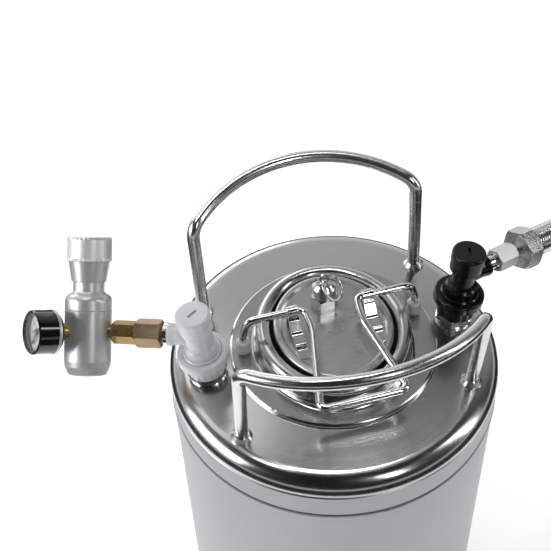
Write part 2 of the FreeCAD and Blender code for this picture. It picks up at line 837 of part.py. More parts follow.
def make_pull_ring():
    """Split ring through the stem's eye."""
    return placed(torus(ring_radius, ring_wire / 2, 0), ring_frame().multiply(
        Placement(Vector(ring_radius, 0, 0), FreeCAD.Rotation())))


# ---- posts ---------------------------------------------------------------------------------
def make_post_socket():
    """Threaded spud welded through the head, with its flange."""
    return lathe((spud_bore, -spud_below), (spud_radius, -spud_below), (spud_radius, -sheet),
                 (socket_radius, -sheet / 2), (socket_radius, socket_flange - 0.6),
                 (socket_radius - 0.6, socket_flange), (spud_radius, socket_flange),
                 (spud_radius, spud_top), (spud_bore, spud_top))


def make_dip_seal():
    """O-ring between the spud and the dip tube's flange."""
    return torus(dip_tube_radius + seal_wire / 2, seal_wire / 2, spud_top + seal_wire / 2)


def dip_flange_bottom():
    """Height of the dip tube's flange on the squeezed O-ring."""
    return spud_top + seal_wire


def make_gas_dip_tube():
    """Short tube that ends under the head."""
    return placed(dip_tube_top(-gas_dip_length), post_frame(-1))


def dip_tube_top(low):
    """Tube from a given height up to its flange."""
    bore = dip_tube_radius - dip_tube_wall
    flange = dip_flange_bottom()
    return lathe((bore, low), (dip_tube_radius, low), (dip_tube_radius, flange), (dip_flange, flange),
                 (dip_flange, flange + dip_flange_thick), (bore, flange + dip_flange_thick))


def make_liquid_dip_tube():
    """Long tube, bent at the foot so that it ends over the lowest point of the keg."""
    frame = post_frame(1)
    top = placed(dip_tube_top(-spud_below - 10.0), frame)
    start = frame.multVec(Vector(0, 0, -spud_below - 10.0))
    side_x = start.x
    turn_z = bottom_low_z + 62.0
    end = Vector(6.0, 0, bottom_low_z + sheet + liquid_dip_floor)
    points = [start, frame.multVec(Vector(0, 0, -70.0)), Vector(side_x - 14.0, 0, turn_z), end]
    path = rounded_path(points, [22.0, 22.0])
    run = pipe(path, dip_tube_radius).cut(pipe(path, dip_tube_radius - dip_tube_wall))
    return top.fuse(run).removeSplitter()


def make_post():
    """Ball lock post: hexagon, shoulder, barrel with lock groove, seal groove and mouth."""
    low = groove_height - groove_width / 2
    high = groove_height + groove_width / 2
    seal_low = post_seal_height - seal_wire / 2 - 0.1
    seal_high = post_seal_height + seal_wire / 2 + 0.1
    seal_floor = post_barrel - seal_wire + seal_proud
    bevel = 0.6
    barrel = lathe((0, post_hex_top - 1), (post_shoulder, post_hex_top - 1),
                   (post_shoulder, post_shoulder_top - 0.6), (post_shoulder - 0.6, post_shoulder_top),
                   (post_barrel, post_shoulder_top), (post_barrel, low),
                   (groove_radius, low + bevel), (groove_radius, high - bevel), (post_barrel, high),
                   (post_barrel, seal_low), (seal_floor, seal_low), (seal_floor, seal_high),
                   (post_barrel, seal_high), (post_barrel, post_top - 1.2), (post_barrel - 1.2, post_top),
                   (0, post_top))
    grip = prism(post_hex, socket_flange + 0.15, post_hex_top)
    inside = lathe((0, 0), (spud_radius, 0), (spud_radius, spud_top), (dip_flange + 0.1, spud_top),
                   (dip_flange + 0.1, dip_flange_bottom() + dip_flange_thick),
                   (post_chamber, dip_flange_bottom() + dip_flange_thick),
                   (post_chamber, poppet_head + 0.4), (post_mouth, poppet_head + 0.4 + post_cone),
                   (post_mouth, post_top + 1), (0, post_top + 1))
    return grip.fuse(barrel).cut(inside).removeSplitter()


def make_post_seal():
    """O-ring in the groove near the post's top."""
    return torus(post_barrel - seal_wire / 2 + seal_proud, seal_wire / 2, post_seal_height)


def make_poppet():
    """Valve cone on a stem, held off its seat by the disconnect's pin."""
    low = poppet_head - poppet_depth
    down = valve_stroke + 0.4
    return lathe((0, low - 1.6), (poppet_radius - 1.4, low - 1.6), (poppet_radius - 1.4, low),
                 (poppet_radius, low), (poppet_radius, poppet_head - down - 1.4),
                 (poppet_stem, poppet_head - down), (poppet_stem, poppet_tip - 0.5),
                 (poppet_stem - 0.5, poppet_tip), (0, poppet_tip))


def make_poppet_spring():
    """Spring under the poppet, drawn at its shortest working length."""
    low = dip_flange_bottom() + dip_flange_thick + 0.05
    high = poppet_head - poppet_depth - valve_stroke - loose_gap
    return coil(poppet_radius - 0.5, 0.4, low, high, 3)


# ---- quick disconnects --------------------------------------------------------------------
def across(shape):
    """Turn a shape built along Z so that it lies out along the arm."""
    turned = Placement(Vector(0, 0, arm_height), FreeCAD.Rotation(Vector(0, 0, 1), Vector(1, 0, 0)))
    return placed(shape, turned)


def make_disconnect_body(neck):
    """Moulded body: socket over the post, flange, neck, head and side arm."""
    bore = post_barrel + running_fit
    outside = lathe((0, barrel_bottom), (barrel_outer, barrel_bottom), (barrel_outer, flange_bottom),
                    (flange_radius - 0.5, flange_bottom), (flange_radius, flange_bottom + 0.5),
                    (flange_radius, flange_top - 0.9), (flange_radius - 0.9, flange_top),
                    (shoulder_radius, flange_top), (shoulder_radius, barrel_top - 1.4),
                    (shoulder_radius - 1.4, barrel_top), (neck, barrel_top + 0.6),
                    (neck, head_bottom - 2.5), (head_radius, head_bottom + 1.0),
                    (head_radius, head_top), (0, head_top))
    arm = lathe((0, 0), (arm_radius, 0), (arm_radius, arm_length - 5.0), (arm_flare, arm_length - 1.5),
                (arm_flare, arm_length), (0, arm_length))
    seat = pin_head_bottom - 1.2
    inside = lathe((0, barrel_bottom - 1), (bore, barrel_bottom - 1), (bore, barrel_roof),
                   (pin_radius + 0.5, barrel_roof), (pin_radius + 0.5, seat - 1.0),
                   (chamber_radius, seat), (chamber_radius, head_top - cap_plug_length),
                   (cap_plug, head_top - cap_plug_length), (cap_plug, head_top + 1), (0, head_top + 1))
    passage = rod(arm_bore, chamber_radius - 1.0, arm_length + 1)
    seat_hole = Part.makeCylinder(ball / 2 + running_fit, barrel_wall + 2.0,
                                  Vector(bore - 1.0, 0, groove_height), Vector(1, 0, 0))
    body = outside.fuse(across(arm)).cut(inside).cut(across(passage))
    return body.cut(Part.makeCompound(around(seat_hole, ball_count, 45)))


def make_disconnect_cap():
    """Screw cap with a driver slot."""
    cap = lathe((0, head_top - cap_plug_length), (cap_plug, head_top - cap_plug_length), (cap_plug, head_top),
                (cap_radius, head_top), (cap_radius, cap_top - 1.6),
                bend(cap_radius - 1.6, cap_top - 1.6, 1.6, 0, 90), (0, cap_top))
    slot = Part.makeBox(slot_length, slot_width, slot_depth + 1,
                        Vector(-slot_length / 2, -slot_width / 2, cap_top - slot_depth))
    slot.rotate(Vector(0, 0, 0), Vector(0, 0, 1), 55)
    return cap.cut(slot)


def make_collar():
    """Sliding lock collar: knurled skirt, wide grip rim and a recess for its spring."""
    recess = flange_radius + loose_gap
    release = ball_line + ball / 2 + 1.3
    sleeve = lathe((release, skirt_bottom), (collar_skirt - 0.5, skirt_bottom),
                   (collar_skirt, skirt_bottom + 0.5), (collar_skirt, collar_rim_bottom - 2.0),
                   (collar_rim - 1.0, collar_rim_bottom), (collar_rim, collar_rim_bottom + 1.0),
                   (collar_rim, collar_top - 1.5),
                   bend(collar_rim - 1.5, collar_top - 1.5, 1.5, 0, 90),
                   (recess, collar_top), (recess, collar_floor), (collar_bore, collar_floor),
                   (collar_bore, groove_height - ball / 2 - 0.4), (release, groove_height - ball / 2 - 1.4))
    notch = Part.makeCylinder(collar_notch, collar_rim_bottom - skirt_bottom - 3.6,
                              Vector(collar_skirt + 0.25, 0, skirt_bottom + 1.0))
    return sleeve.cut(Part.makeCompound(around(notch, collar_notches)))


def make_lock_balls():
    """Balls that lock the disconnect under the post's rim."""
    return around(Part.makeSphere(ball / 2, Vector(ball_line, 0, groove_height)), ball_count, 45)


def make_collar_spring():
    """Drawn at its shortest working length, against the body's flange."""
    return coil(barrel_outer + 0.95, 0.5, collar_floor + collar_travel + 0.3, flange_bottom - 0.05, 2)


def make_disconnect_pin():
    """Valve pin: rod that pushes the poppet, with its sealing head."""
    low = poppet_tip + 0.12
    head = pin_head_bottom
    return lathe((0, low), (pin_radius - 0.4, low), (pin_radius, low + 0.4), (pin_radius, head - 0.6),
                 (pin_head, head + 1.4), (pin_head, head + pin_head_height + 1.0), (1.6, head + pin_head_height + 1.0),
                 (1.6, head + pin_head_height + 3.0), (0, head + pin_head_height + 3.0))


def make_pin_spring():
    """Coil that pushes the pin down onto the poppet."""
    low = pin_head_bottom + pin_head_height + 1.0 + valve_stroke + 0.3
    return coil(3.1, 0.4, low, head_top - cap_plug_length - 0.05, 4)


def make_disconnect_seal():
    """Flat ring that closes the top of the post."""
    return ring(pin_radius + 0.6, post_barrel - 0.5, post_top + seal_gap, barrel_roof)


def make_flare_stem(flare, collar_length):
    """Metal flare stem moulded into the arm: bright collar, then the threaded end."""
    collar = arm_length + collar_length
    end = collar + stem_length
    shape = lathe((stem_bore, arm_length - 9.0), (arm_bore, arm_length - 9.0), (arm_bore, arm_length),
                  (flare, arm_length), (flare, collar - 1.6), (flare - 1.6, collar),
                  (stem_thread, collar), (stem_thread, end - 3.0), (stem_bore + 0.6, end), (stem_bore, end))
    return across(shape)


# ---- regulator -------------------------------------------------------------------------------
def make_swivel_nut():
    """Flare nut that turns on the regulator's nose and holds the stem."""
    low = arm_length + gas_stem_collar + stem_nut_gap
    high = low + nut_length
    nut = prism(nut_hex, low, high, 1.0)
    bore = lathe((0, low - 1), (stem_thread + running_fit, low - 1), (stem_thread + running_fit, high - 3.0),
                 (outlet_nose + running_fit, high - 3.0), (outlet_nose + running_fit, high + 1), (0, high + 1))
    return nut.cut(bore)


def nut_end():
    """Distance along the arm to the swivel nut's far face."""
    return arm_length + gas_stem_collar + stem_nut_gap + nut_length


def make_regulator_outlet():
    """Brass outlet: nose inside the nut, hexagon, then a neck into the body."""
    hex_low = nut_end() + loose_gap
    hex_high = hex_low + outlet_hex_length
    tip = arm_length + gas_stem_collar + stem_length
    into = regulator_reach - regulator_radius + body_wall
    nose_end = nut_end() - 3.0 - loose_gap
    nose = lathe((0, tip - 2.2), (2.2, tip - 2.2), (stem_thread - 0.6, tip + 0.4),
                 (stem_thread - 0.6, nose_end), (outlet_nose, nose_end), (outlet_nose, hex_low + 0.5), (0, hex_low + 0.5))
    stem = lathe((0, tip - 4), (stem_thread + 1, tip - 4), (stem_thread + 1, tip + loose_gap), (0, tip + loose_gap))
    neck = lathe((0, hex_high - 0.5), (outlet_neck, hex_high - 0.5), (outlet_neck, into), (0, into))
    grip = prism(outlet_hex, hex_low, hex_high, 0.9)
    outlet = grip.fuse(neck).fuse(nose.cut(stem))
    return outlet.cut(rod(1.6, 0, regulator_reach)).removeSplitter()


def cross_regulator(shape):
    """Move a shape built along the arm's Z into the regulator's frame."""
    turned = Placement(Vector(-regulator_reach, 0, 0), FreeCAD.Rotation(Vector(0, 0, 1), Vector(1, 0, 0)))
    return placed(shape, turned)


def across_gauge(shape):
    """Move a shape built along the gauge's Z into the regulator's frame."""
    angle = math.radians(gauge_turn)
    out = Vector(math.cos(angle), math.sin(angle), 0)
    return placed(shape, frame_of(Vector(0, 0, 0), Vector(0, 0, 1), out))


def make_regulator_body():
    """Turned body: tapered foot with the cartridge socket and lance, gas chamber above."""
    low = -outlet_up
    joint = joint_line_up - outlet_up
    outside = lathe((0, low), (regulator_radius - body_taper - 0.6, low),
                    (regulator_radius - body_taper, low + 0.6),
                    (regulator_radius - 0.5, low + body_taper_height * 0.6),
                    (regulator_radius, low + body_taper_height), (regulator_radius, joint - joint_groove),
                    (regulator_radius - joint_groove, joint), (0, joint))
    seat = low + cartridge_depth + lance_recess_depth
    socket = rod(cartridge_bore, low - 1, low + cartridge_depth).fuse(rod(lance_recess, low, seat))
    feed = rod(lance_radius / 2, low, joint - 6.0)
    chamber = rod(regulator_radius - body_wall, seat + 4.0, joint + 1)
    lance = lathe((0, seat - lance_length), (lance_radius * 0.5, seat - lance_length), (lance_radius, seat + 1),
                  (0, seat + 1))
    side = rod(outlet_neck, 0, regulator_reach - 5)
    gauge_hole = rod(gauge_stem_radius, 2, regulator_radius + 5)
    body = outside.cut(socket).cut(chamber).fuse(lance).cut(feed)
    return body.cut(cross_regulator(side)).cut(across_gauge(gauge_hole)).removeSplitter()


def make_regulator_bonnet():
    """Upper housing: rounded shoulder, neck and flared collar round the spindle."""
    joint = joint_line_up - outlet_up
    shoulder = shoulder_up - outlet_up
    neck = neck_top - outlet_up
    top = cone_top - outlet_up
    ring_x = regulator_radius - shoulder_round
    outside = lathe((0, joint), (regulator_radius - joint_groove, joint), (regulator_radius, joint + joint_groove),
                    (regulator_radius, shoulder - shoulder_round),
                    bend(ring_x, shoulder - shoulder_round, shoulder_round, 0, 78),
                    (neck_radius, shoulder + 1.2), (neck_radius, neck), (cone_bottom_radius, neck + 0.4),
                    (cone_top_radius, top), (0, top))
    bore = spindle_radius + running_fit
    inside = lathe((0, joint - 1), (plate_radius + loose_gap + 1.2, joint - 1),
                   (plate_radius + loose_gap + 1.2, joint + 2.0), (plate_radius + loose_gap, joint + 3.0),
                   (plate_radius + loose_gap, shoulder + 4.0), (bore, shoulder + 4.0), (bore, top + 1), (0, top + 1))
    return outside.cut(inside)


def make_regulator_diaphragm():
    """Corrugated disc clamped over the gas chamber."""
    z = diaphragm_up - outlet_up
    return lathe((0, z), (3.0, z), (4.0, z + 0.5), (5.4, z + 0.5), (6.4, z), (plate_radius + loose_gap + 1.2, z),
                 (plate_radius + loose_gap + 1.2, z + 0.8), (6.4, z + 0.8), (5.4, z + 1.3), (4.0, z + 1.3),
                 (3.0, z + 0.8), (0, z + 0.8))


def make_regulator_spring():
    """Main spring between the diaphragm and the follower plate, at its shortest working length."""
    low = diaphragm_up - outlet_up + 1.35
    high = plate_up - outlet_up - plate_travel - loose_gap
    return coil(5.6, 0.6, low, high, 1)


def make_regulator_knob():
    """Knurled knob with the spindle that turns in the bonnet."""
    low = cone_top - outlet_up + loose_gap
    high = low + knob_height
    tip = plate_up - outlet_up - plate_travel
    head = lathe((0, tip), (spindle_radius, tip), (spindle_radius, low), (knob_radius - 0.8, low),
                 (knob_radius, low + 0.8), (knob_radius, high - 1.2), (knob_radius - 1.2, high), (0, high))
    notch = Part.makeCylinder(knob_notch, knob_height - 3.6, Vector(knob_radius + 0.15, 0, low + 1.6))
    return head.cut(Part.makeCompound(around(notch, knob_notches)))


def make_follower_plate():
    """Nut plate that travels on the spindle's thread and loads the main spring."""
    low = plate_up - outlet_up
    return ring(spindle_radius + running_fit, plate_radius, low, low + plate_thick)


def gauge_case_back():
    """Distance from the regulator's axis to the back of the gauge."""
    return regulator_radius + gauge_stem_length - 2.0


def make_gauge_stem():
    """Brass stem from the body to the gauge."""
    back = gauge_case_back()
    low = regulator_radius - body_wall
    stem = rod(gauge_stem_radius, low, back)
    collar = lathe((0, regulator_radius + 0.6), (gauge_stem_radius + 1.4, regulator_radius + 1.6),
                   (gauge_stem_radius + 1.4, back - 1.2), (gauge_stem_radius, back), (0, back))
    return stem.fuse(collar).cut(rod(1.2, low - 1, back - 1)).removeSplitter()


def make_gauge_case():
    """Round case, open at the dial, with a stepped rim."""
    back = gauge_case_back()
    front = back + gauge_depth
    inner = gauge_radius - gauge_wall
    return lathe((0, back), (gauge_radius - 2.5, back), (gauge_radius, back + gauge_back),
                 (gauge_radius, front - 0.6), (gauge_radius - 0.6, front), (inner, front),
                 (inner, back + gauge_back + 1.0), (0, back + gauge_back + 1.0))


def dial_floor():
    """Distance from the regulator's axis to the dial plate."""
    return gauge_case_back() + gauge_depth - dial_depth


def make_gauge_dial():
    """Dial plate with its centre hole."""
    inner = gauge_radius - gauge_wall
    return ring(1.0, inner, dial_floor() - 1.0, dial_floor())


def make_gauge_needle():
    """Pointer on its hub, with the short shaft through the dial."""
    low = dial_floor() + 0.6
    hub = rod(1.8, low, low + 1.2)
    shaft = rod(0.7, low - 6.0, low)
    points = [Vector(-3.0, -needle_width, low + 0.2), Vector(needle_length, -0.25, low + 0.2),
              Vector(needle_length, 0.25, low + 0.2), Vector(-3.0, needle_width, low + 0.2),
              Vector(-3.0, -needle_width, low + 0.2)]
    blade = Part.Face(Part.makePolygon(points)).extrude(Vector(0, 0, 0.6))
    blade.rotate(Vector(0, 0, 0), Vector(0, 0, 1), 145)
    return hub.fuse(shaft).fuse(blade).removeSplitter()


def make_gauge_lens():
    """Clear window set in the rim."""
    inner = gauge_radius - gauge_wall
    front = gauge_case_back() + gauge_depth
    return rod(inner, front - 1.6, front - 0.4)


# ---- liquid side fittings -----------------------------------------------------------------------
def make_tail_nut():
    """Small flare nut on the liquid stem; it turns on the shank's tail."""
    low = arm_length + liquid_stem_collar + stem_nut_gap
    nut = prism(tail_hex, low, low + tail_hex_length, 1.0)
    bore = lathe((0, low - 1), (stem_thread + running_fit, low - 1),
                 (stem_thread + running_fit, low + tail_hex_length - 2.6),
                 (outlet_nose + running_fit, low + tail_hex_length - 2.6),
                 (outlet_nose + running_fit, low + tail_hex_length + 1), (0, low + tail_hex_length + 1))
    return nut.cut(bore)


def make_tap_shank():
    """Shank: nose in the nut, big hexagon, then a straight threaded tube."""
    nut_low = arm_length + liquid_stem_collar + stem_nut_gap
    nut_high = nut_low + tail_hex_length
    tip = arm_length + liquid_stem_collar + stem_length + loose_gap
    hex_low = nut_high + shank_gap
    hex_high = hex_low + shank_hex_length
    end = hex_high + shank_length
    nose_end = nut_high - 2.6 - loose_gap
    nose = lathe((0, tip), (stem_thread - 0.6, tip), (stem_thread - 0.6, nose_end), (outlet_nose, nose_end),
                 (outlet_nose, hex_low + 0.5), (0, hex_low + 0.5))
    root = shank_radius - shank_thread_depth
    steps = [(shank_radius, hex_high - 0.5), (shank_radius, hex_high + 1.0)]
    z = hex_high + 1.0
    while z + shank_pitch < end - 0.8:
        steps.append((root, z + shank_pitch * 0.45))
        steps.append((root, z + shank_pitch * 0.55))
        steps.append((shank_radius, z + shank_pitch * 0.95))
        steps.append((shank_radius, z + shank_pitch))
        z += shank_pitch
    steps += [(root, end), (0, end)]
    thread = lathe((0, hex_high - 0.5), *steps)
    grip = prism(shank_hex, hex_low, hex_high, 1.4)
    shank = grip.fuse(thread).fuse(nose)
    return shank.cut(rod(shank_bore, 0, end + 1)).removeSplitter()


# ---- the whole keg -----------------------------------------------------------------------------
def export_vessel():
    """Write the vessel's pieces."""
    dome = make_top_dome()
    inside = lathe((0, 0), (shell_radius, 0), *head_surface(0.0), (0, plateau_z))
    handle = make_handle().multiFuse(make_weld_beads()).cut(inside)
    sockets = [placed(make_post_socket(), post_frame(side)).cut(dome) for side in (-1, 1)]
    export("shell", make_shell())
    export("top_dome", dome)
    export("bottom_dome", make_bottom_dome())
    export("base_skirt", make_base_skirt())
    export("rear_handle", handle)
    export("front_handle", mirrored_y(handle))
    export("post_sockets", Part.makeCompound(sockets))


def export_posts():
    """Write the two posts' pieces."""
    for side, name in ((-1, "gas"), (1, "liquid")):
        frame = post_frame(side)
        export(name + "_post", placed(make_post(), frame))
        export(name + "_poppet", placed(make_poppet(), frame))
    export("gas_dip_tube", make_gas_dip_tube())
    export("liquid_dip_tube", make_liquid_dip_tube())
    seals = Part.makeCompound([make_dip_seal(), make_post_seal()])
    export("post_seals", Part.makeCompound([placed(seals, post_frame(side)) for side in (-1, 1)]))
    springs = [placed(make_poppet_spring(), post_frame(side)) for side in (-1, 1)]
    export("poppet_springs", Part.makeCompound(springs))


def export_lid():
    """Write the lid's, the bail's and the relief valve's pieces."""
    lid = make_lid()
    brackets = [bracket.cut(lid) for bracket in make_bail_brackets()]
    export("lid", lid)
    export("lid_gasket", make_lid_gasket())
    export("bail_wire", make_bail_wire())
    export("bail_feet", Part.makeCompound(make_bail_feet()))
    export("bail_brackets", Part.makeCompound(brackets))
    export("relief_valve_body", make_relief_body())
    export("relief_valve_nut", make_relief_nut())
    export("relief_valve_cap", make_relief_cap())
    export("relief_valve_seal", make_relief_seal())
    export("relief_valve_stem", make_relief_stem())
    export("relief_valve_spring", make_relief_spring())
    export("relief_valve_ring", make_pull_ring())


def export_disconnects():
    """Write the two disconnects' pieces."""
    kinds = (("gas", -1, gas_arm_turn, gas_neck, gas_stem_flare, gas_stem_collar),
             ("liquid", 1, liquid_arm_turn, liquid_neck, liquid_stem_flare, liquid_stem_collar))
    for name, side, turn, neck, flare, collar in kinds:
        frame = post_frame(side, turn)
        pieces = {"disconnect_body": make_disconnect_body(neck),
                  "disconnect_cap": make_disconnect_cap(),
                  "collar": make_collar(),
                  "lock_balls": Part.makeCompound(make_lock_balls()),
                  "collar_spring": make_collar_spring(),
                  "disconnect_pin": make_disconnect_pin(),
                  "pin_spring": make_pin_spring(),
                  "disconnect_seal": make_disconnect_seal(),
                  "flare_stem": make_flare_stem(flare, collar)}
        for part, shape in pieces.items():
            export(name + "_" + part, placed(shape, frame))


def export_regulator():
    """Write the regulator's and the gauge's pieces."""
    arm = arm_frame(-1)
    base = regulator_frame()
    gauge = gauge_frame()
    export("gas_swivel_nut", placed(make_swivel_nut(), arm))
    export("regulator_outlet", placed(make_regulator_outlet(), arm))
    export("regulator_body", placed(make_regulator_body(), base))
    export("regulator_bonnet", placed(make_regulator_bonnet(), base))
    export("regulator_diaphragm", placed(make_regulator_diaphragm(), base))
    export("regulator_spring", placed(make_regulator_spring(), base))
    export("regulator_plate", placed(make_follower_plate(), base))
    export("regulator_knob", placed(make_regulator_knob(), base))
    export("gauge_stem", placed(make_gauge_stem(), gauge))
    export("gauge_case", placed(make_gauge_case(), gauge))
    export("gauge_dial", placed(make_gauge_dial(), gauge))
    export("gauge_needle", placed(make_gauge_needle(), gauge))
    export("gauge_lens", placed(make_gauge_lens(), gauge))


def export_shank():
    """Write the pieces of the tap shank."""
    arm = arm_frame(1)
    export("liquid_tail_nut", placed(make_tail_nut(), arm))
    export("tap_shank", placed(make_tap_shank(), arm))


os.makedirs("parts", exist_ok=True)
export_vessel()
export_posts()
export_lid()
export_disconnects()
export_regulator()
export_shank()
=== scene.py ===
"""A small ball lock soda keg with its disconnects, mini regulator and tap shank.

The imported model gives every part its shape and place. This file gives the parts their finishes,
adds the printed dial, the knurled knob and other small work, and sets the studio and camera.
"""

import json
import logging
import math
from dataclasses import dataclass, field
from enum import Enum
from functools import partial
from typing import Callable

import bpy
from mathutils import Matrix, Vector


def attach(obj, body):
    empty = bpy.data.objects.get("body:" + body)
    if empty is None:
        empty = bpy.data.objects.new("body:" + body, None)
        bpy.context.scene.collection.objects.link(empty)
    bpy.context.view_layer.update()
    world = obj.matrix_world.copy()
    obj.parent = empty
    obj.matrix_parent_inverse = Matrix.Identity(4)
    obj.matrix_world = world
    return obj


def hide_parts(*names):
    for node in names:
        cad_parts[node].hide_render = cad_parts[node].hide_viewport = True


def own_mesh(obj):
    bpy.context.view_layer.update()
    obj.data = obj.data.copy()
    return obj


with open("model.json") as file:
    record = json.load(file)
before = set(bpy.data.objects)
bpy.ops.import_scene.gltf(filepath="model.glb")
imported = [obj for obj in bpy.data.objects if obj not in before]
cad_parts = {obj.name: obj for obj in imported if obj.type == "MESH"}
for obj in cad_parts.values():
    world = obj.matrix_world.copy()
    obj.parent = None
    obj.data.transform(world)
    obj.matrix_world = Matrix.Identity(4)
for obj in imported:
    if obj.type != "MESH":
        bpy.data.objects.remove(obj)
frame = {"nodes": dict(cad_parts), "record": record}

log = logging.getLogger("soda_keg")

Rgb = tuple[float, float, float]
MM = 0.001
UPRIGHT = 0.9  # a unit direction with more than this along an axis counts as running along it


# ---- axes -------------------------------------------------------------------------
@dataclass(frozen=True)
class Line:
    """An axis in the model: a point on it and the way it points."""

    origin: Vector
    along: Vector

    @staticmethod
    def of_joint(name: str) -> "Line":
        """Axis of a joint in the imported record.

        Args:
            name: The joint's name.

        Returns:
            The joint's axis, through its own pivot.
        """
        joint = next(j for j in frame["record"]["behaviour"]["joints"] if j["name"] == name)
        return Line(Vector(joint.get("pos_m", (0, 0, 0))), Vector(joint["axis"]).normalized())

    def matrix(self, up: Vector = Vector((0, 0, 1))) -> Matrix:
        """Placement whose Z runs along the line and whose Y leans towards up.

        Args:
            up: Direction that Y leans towards.

        Returns:
            The 4 x 4 placement.
        """
        side = up.cross(self.along)
        if side.length < 1e-6:
            side = Vector((0, 1, 0)).cross(self.along)
        side.normalize()
        turn = Matrix((side, self.along.cross(side), self.along)).transposed()
        return Matrix.Translation(self.origin) @ turn.to_4x4()

    def flipped(self) -> "Line":
        """The same line, pointing the other way."""
        return Line(self.origin, -self.along)


# ---- node helpers -----------------------------------------------------------------
class Tree:
    """A node tree with short ways to add nodes and joins."""

    def __init__(self, tree: bpy.types.NodeTree) -> None:
        """Keeps the tree.

        Args:
            tree: The node tree to add to.
        """
        self.tree = tree

    def add(self, kind: str, **values: object) -> bpy.types.Node:
        """Adds a node and sets its properties.

        Args:
            kind: Blender's name of the node type.
            values: Properties of the node.

        Returns:
            The new node.
        """
        node = self.tree.nodes.new(kind)
        for key, value in values.items():
            setattr(node, key, value)
        return node

    def join(self, source: bpy.types.NodeSocket, target: bpy.types.NodeSocket) -> None:
        """Joins an output to an input."""
        self.tree.links.new(source, target)

    def place(self, group: bpy.types.NodeTree, vector: bpy.types.NodeSocket, **values: float) -> bpy.types.Node:
        """Places a node group.

        Args:
            group: The group.
            vector: What to feed to its Vector input.
            values: Its other inputs that differ from their starting values.

        Returns:
            The new node.
        """
        node = self.add("ShaderNodeGroup")
        node.node_tree = group
        for label, value in values.items():
            node.inputs[label].default_value = value
        self.join(vector, node.inputs["Vector"])
        return node

    def math(
        self, what: str, first: object, second: object = 0.5, clamp: bool = False
    ) -> bpy.types.NodeSocket:
        """Adds a Math node.

        Args:
            what: The operation.
            first: A socket or a number.
            second: A socket or a number.
            clamp: Whether the result stays between 0 and 1.

        Returns:
            The node's output.
        """
        node = self.add("ShaderNodeMath", operation=what, use_clamp=clamp)
        for slot, value in zip(node.inputs, (first, second)):
            if isinstance(value, bpy.types.NodeSocket):
                self.join(value, slot)
            else:
                slot.default_value = value
        return node.outputs[0]

    def spread(
        self, value: bpy.types.NodeSocket, low: object, high: object, start: float = 0.0, stop: float = 1.0
    ) -> bpy.types.NodeSocket:
        """Adds a Map Range node that takes start..stop to low..high.

        Args:
            value: The socket to spread.
            low: Result at start, a socket or a number.
            high: Result at stop, a socket or a number.
            start: Value that gives low.
            stop: Value that gives high.

        Returns:
            The node's output.
        """
        node = self.add("ShaderNodeMapRange")
        self.join(value, node.inputs["Value"])
        node.inputs["From Min"].default_value = start
        node.inputs["From Max"].default_value = stop
        for name, end in (("To Min", low), ("To Max", high)):
            if isinstance(end, bpy.types.NodeSocket):
                self.join(end, node.inputs[name])
            else:
                node.inputs[name].default_value = end
        return node.outputs[0]

    def blend(self, mask: object, first: object, second: object) -> bpy.types.NodeSocket:
        """Mixes two colours by a mask.

        Args:
            mask: A socket, 0 for the first colour and 1 for the second.
            first: A socket or a colour.
            second: A socket or a colour.

        Returns:
            The mixed colour.
        """
        node = self.add("ShaderNodeMix", data_type="RGBA")
        for index, value in ((0, mask), (6, first), (7, second)):
            if isinstance(value, bpy.types.NodeSocket):
                self.join(value, node.inputs[index])
            elif index == 0:
                node.inputs[index].default_value = value
            else:
                node.inputs[index].default_value = (*value, 1.0)
        return node.outputs[2]


def make_group(
    name: str, inputs: dict[str, tuple[str, object]], outputs: dict[str, str]
) -> tuple[Tree, bpy.types.Node, bpy.types.Node]:
    """Starts a shader node group with named sockets.

    Args:
        name: The group's name.
        inputs: Name of each input to its kind and starting value.
        outputs: Name of each output to its kind.

    Returns:
        The group's tree, its input node and its output node.
    """
    group = bpy.data.node_groups.new(name, "ShaderNodeTree")
    for label, (kind, start) in inputs.items():
        socket = group.interface.new_socket(label, in_out="INPUT", socket_type=f"NodeSocket{kind}")
        if start is not None:
            socket.default_value = start
    for label, kind in outputs.items():
        group.interface.new_socket(label, in_out="OUTPUT", socket_type=f"NodeSocket{kind}")
    tree = Tree(group)
    return tree, tree.add("NodeGroupInput"), tree.add("NodeGroupOutput")


